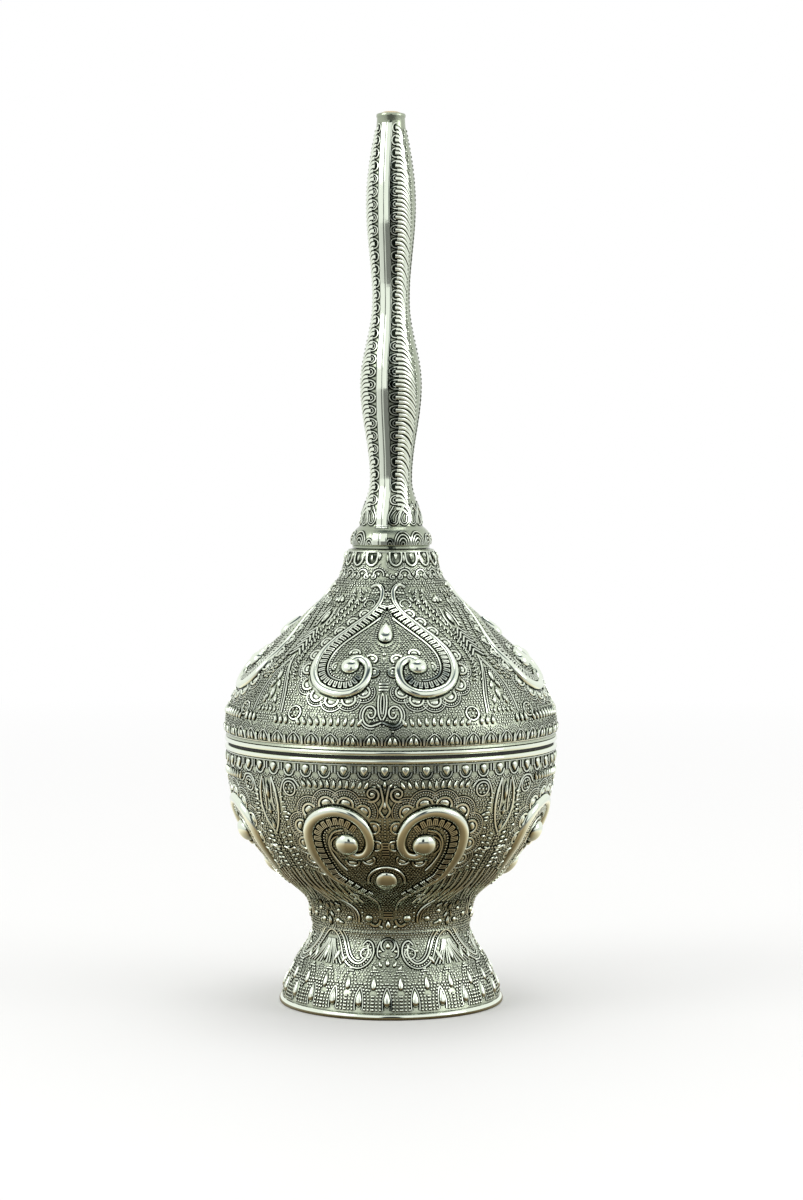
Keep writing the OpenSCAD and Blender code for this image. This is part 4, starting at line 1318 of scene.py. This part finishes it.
def plainFinish(name, low, high, roughness, scale, detail=4.0, spread=0.15, bump=0.2, metal=1.0):
    material, tree, shader = newMaterial(name)
    spot = addNode(tree, "ShaderNodeTexCoord").outputs["Object"]
    shader["Metallic"].default_value = metal
    shader["Roughness"].default_value = roughness
    cloudy = cloud(tree, spot, scale, detail)
    tree.links.new(ramp(tree, cloudy, [(0.5 - spread, low), (0.5 + spread, high)]), shader["Base Color"])
    tree.links.new(roughened(tree, cloudy, bump), shader["Normal"])
    return material


reliefStops = [(0.0, "deep"), (0.40, "deep"), (0.60, "pale"), (0.84, "bright")]
finishes = {
    "ground": silver("castSilverGround", [(0.0, "ground"), (1.0, "pale")], 0.30, 2600.0, 0.6),
    "neck": silver("castSilverNeckGround", [(0.0, "neckPale"), (1.0, "neckBright")], 0.20, 2000.0, 0.3),
    "relief": silver("castSilverRelief", reliefStops, 0.16, 1800.0, 0.22),
    "polished": silver("polishedSilver", [(0.0, "deep"), (0.10, "deep"), (0.3, "bright")], 0.07, 900.0, 0.05),
    "bead": silver("polishedSilverBead", [(0.0, "bright"), (1.0, "bright")], 0.07, 900.0, 0.05),
    "brass": plainFinish("brass", (0.62, 0.47, 0.21), (0.80, 0.66, 0.36), 0.24, 400.0),
    "steel": plainFinish("steel", (0.42, 0.43, 0.43), (0.58, 0.58, 0.57), 0.30, 500.0),
    "seal": plainFinish("sealRubber", (0.010, 0.010, 0.009), (0.024, 0.023, 0.021), 0.7, 900.0, detail=3.0,
                        spread=0.2, bump=0.3, metal=0.0),
}


# Pieces from the pile of laid parts, and the shells

bodyOf = {"dome": "upper", "coll": "upper", "bowl": "base", "foot": "base", "neck": "neck"}
polishedPieces = ("domeScrolls", "bowlScrolls", "footDrops", "neckRightStrip", "neckLeftStrip")
nodeFinish = {"foot_screw": "steel", "foot_washer": "steel", "rim_gasket": "seal", "neck_washer": "seal",
              "neck_nipple": "brass", "tip_rose": "brass"}


def finish(obj, material, body):
    obj.data.materials.clear()
    obj.data.materials.append(material)
    pick(obj)
    bpy.ops.object.shade_smooth_by_angle(angle=math.radians(42))
    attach(obj, body)
    count = sum(len(p.vertices) - 2 for p in obj.data.polygons)
    print("  ", obj.name, count)
    return count


triangles = 0
for name, parts in pile.items():
    isPolished = name in polishedPieces
    triangles += finish(meshFrom(name, joinParts(parts)), finishes["polished" if isPolished else "relief"],
                        bodyOf[name[:4]])
for node, obj in shells.items():
    isBead = node.endswith(("rim", "lip"))
    look = "bead" if isBead else "neck" if node[:4] == "neck" else "ground"
    triangles += finish(obj, finishes[look], bodyOf[node[:4]])
    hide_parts(node.split(" ")[0])
for node, look in nodeFinish.items():
    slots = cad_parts[node].data.materials
    slots.clear()
    slots.append(finishes[look])
print("triangles in all:", triangles)


# Floor, world and lamps

stageLook = {
    "floor": (0.82, 0.82, 0.81, 1),
    # colours of the painted reflection that the floor glows with for glossy rays: far away, and close by
    "far": [(0.0, (0.9,)), (1.0, (0.20,)), (0.5, (0.80,)), (0.8, (0.68,)), (0.94, (0.55,))],
    "paintedReflectionClose": [(0.0, (0.95, 0.84, 0.66)), (1.0, (0.40, 0.29, 0.16)), (0.5, (0.80, 0.67, 0.48)),
              (0.8, (0.60, 0.47, 0.30))],
    "front": (0.087, -0.996, 0),
    "squeeze": (2.6, 1.0, 1.15),
    "opening": (0.03, -1.0, 0.10),
    "band": [(0.80, (1,)), (0.997, (1,)), (0.89, (0.12,)), (0.975, (0.12,))],
    "tint": [(0.0, (0.6, 0.8, 1.0)), (1.0, (1, 1, 1)), (0.7, (0.98, 1, 0.97))],
    "lamps": {  # place, size, power
        "keyLamp": ((-0.9, -0.5, 0.75), 0.6, 3.0),
        "fillLamp": ((0.95, -0.35, 0.45), 0.5, 2.0),
        "topLamp": ((0.1, 0.2, 1.2), 0.5, 1.5),
    },
    "aim": (0, 0, 0.1),
}


def setFloor(look):
    deselectAll()
    bpy.ops.mesh.primitive_circle_add(vertices=96, radius=6, fill_type="NGON")
    floor = bpy.context.object
    floor.name = "floor"
    material, tree, shader = newMaterial("paleFloor")
    shader["Base Color"].default_value = look["floor"]
    shader["Roughness"].default_value = 0.7
    path = addNode(tree, "ShaderNodeLightPath").outputs
    spot = addNode(tree, "ShaderNodeTexCoord").outputs["Object"]
    away = vectorCalc(tree, "LENGTH", spot)
    much = calc(tree, "MULTIPLY", mapped(tree, away, 0.15, 0.9), path["Is Camera Ray"])
    white = addNode(tree, "ShaderNodeEmission").outputs["Emission"]
    plain = tree.nodes["Principled BSDF"].outputs["BSDF"]
    seen = addNode(tree, "ShaderNodeMixShader", [(0, much), (1, plain), (2, white)]).outputs["Shader"]

    # painted reflection: for glossy rays only, the floor glows with a painted table, pale at the sides,
    # darker towards the front, warm close by
    facing = vectorCalc(tree, "DOT_PRODUCT", vectorCalc(tree, "NORMALIZE", spot), look["front"])
    spread = mapped(tree, facing, -0.2, 0.85)
    # painted shadow: the painted reflection is darker right round the object, and brighter a little further
    # out
    under = mapped(tree, away, 0.04, 0.16, 0.3, 1.35)
    paintedReflectionClose = multiplied(tree, 1.0, ramp(tree, spread, look["paintedReflectionClose"]), under)
    far = ramp(tree, spread, look["far"])
    near = mapped(tree, away, 0.09, 0.24, 1.0, 0.0)
    paintedReflection = addNode(tree, "ShaderNodeMix", [("Factor", near), (6, far), (7, paintedReflectionClose)], data_type="RGBA")
    # painted reflection: an emission of these colours, seen only by glossy rays
    mirrored = addNode(tree, "ShaderNodeEmission", [("Color", paintedReflection.outputs[2])]).outputs["Emission"]
    both = addNode(tree, "ShaderNodeMixShader", [(0, path["Is Glossy Ray"]), (1, seen), (2, mirrored)])
    tree.links.new(both.outputs["Shader"], tree.nodes["Material Output"].inputs["Surface"])
    floor.data.materials.append(material)


def setWorld(look):  # polished silver sees a bright tent, with a tall dark opening and a dark band in front
    world = bpy.data.worlds.new("studio")
    bpy.context.scene.world = world
    world.use_nodes = True
    tree = world.node_tree
    path = addNode(tree, "ShaderNodeLightPath").outputs
    way = addNode(tree, "ShaderNodeTexCoord").outputs["Generated"]
    facing = vectorCalc(tree, "DISTANCE", vectorCalc(tree, "MULTIPLY", way, look["squeeze"]), look["opening"])
    room = mapped(tree, facing, 0.36, 0.60, 0.03, 0.95)
    along = addNode(tree, "ShaderNodeSeparateXYZ", [(0, way)]).outputs
    shut = calc(tree, "MAXIMUM", ramp(tree, along["Z"], look["band"]), mapped(tree, along["Y"], -0.25, 0.10))
    tent = calc(tree, "MULTIPLY", room, shut)
    plain = calc(tree, "MAXIMUM", path["Is Camera Ray"], path["Is Diffuse Ray"])
    level = addNode(tree, "ShaderNodeMix", [(0, plain), (2, tent)], data_type="FLOAT")
    level.inputs[3].default_value = 1.0
    back = tree.nodes["Background"].inputs
    tree.links.new(level.outputs[0], back["Strength"])
    tree.links.new(ramp(tree, level.outputs[0], look["tint"]), back["Color"])


def setLamps(look):
    for name, (place, size, power) in look["lamps"].items():
        way = np.array(place) - np.array(look["aim"])
        turn = (math.atan2(math.hypot(way[0], way[1]), way[2]), 0, math.atan2(way[0], -way[1]))
        bpy.ops.object.light_add(type="AREA", location=place, rotation=turn)
        lamp = bpy.context.object
        lamp.name = name
        lamp.data.shape = "SQUARE"
        lamp.data.size = size
        lamp.data.energy = power


setFloor(stageLook)
setWorld(stageLook)
setLamps(stageLook)
bpy.context.scene.view_settings.view_transform = "Standard"
print("stage set")
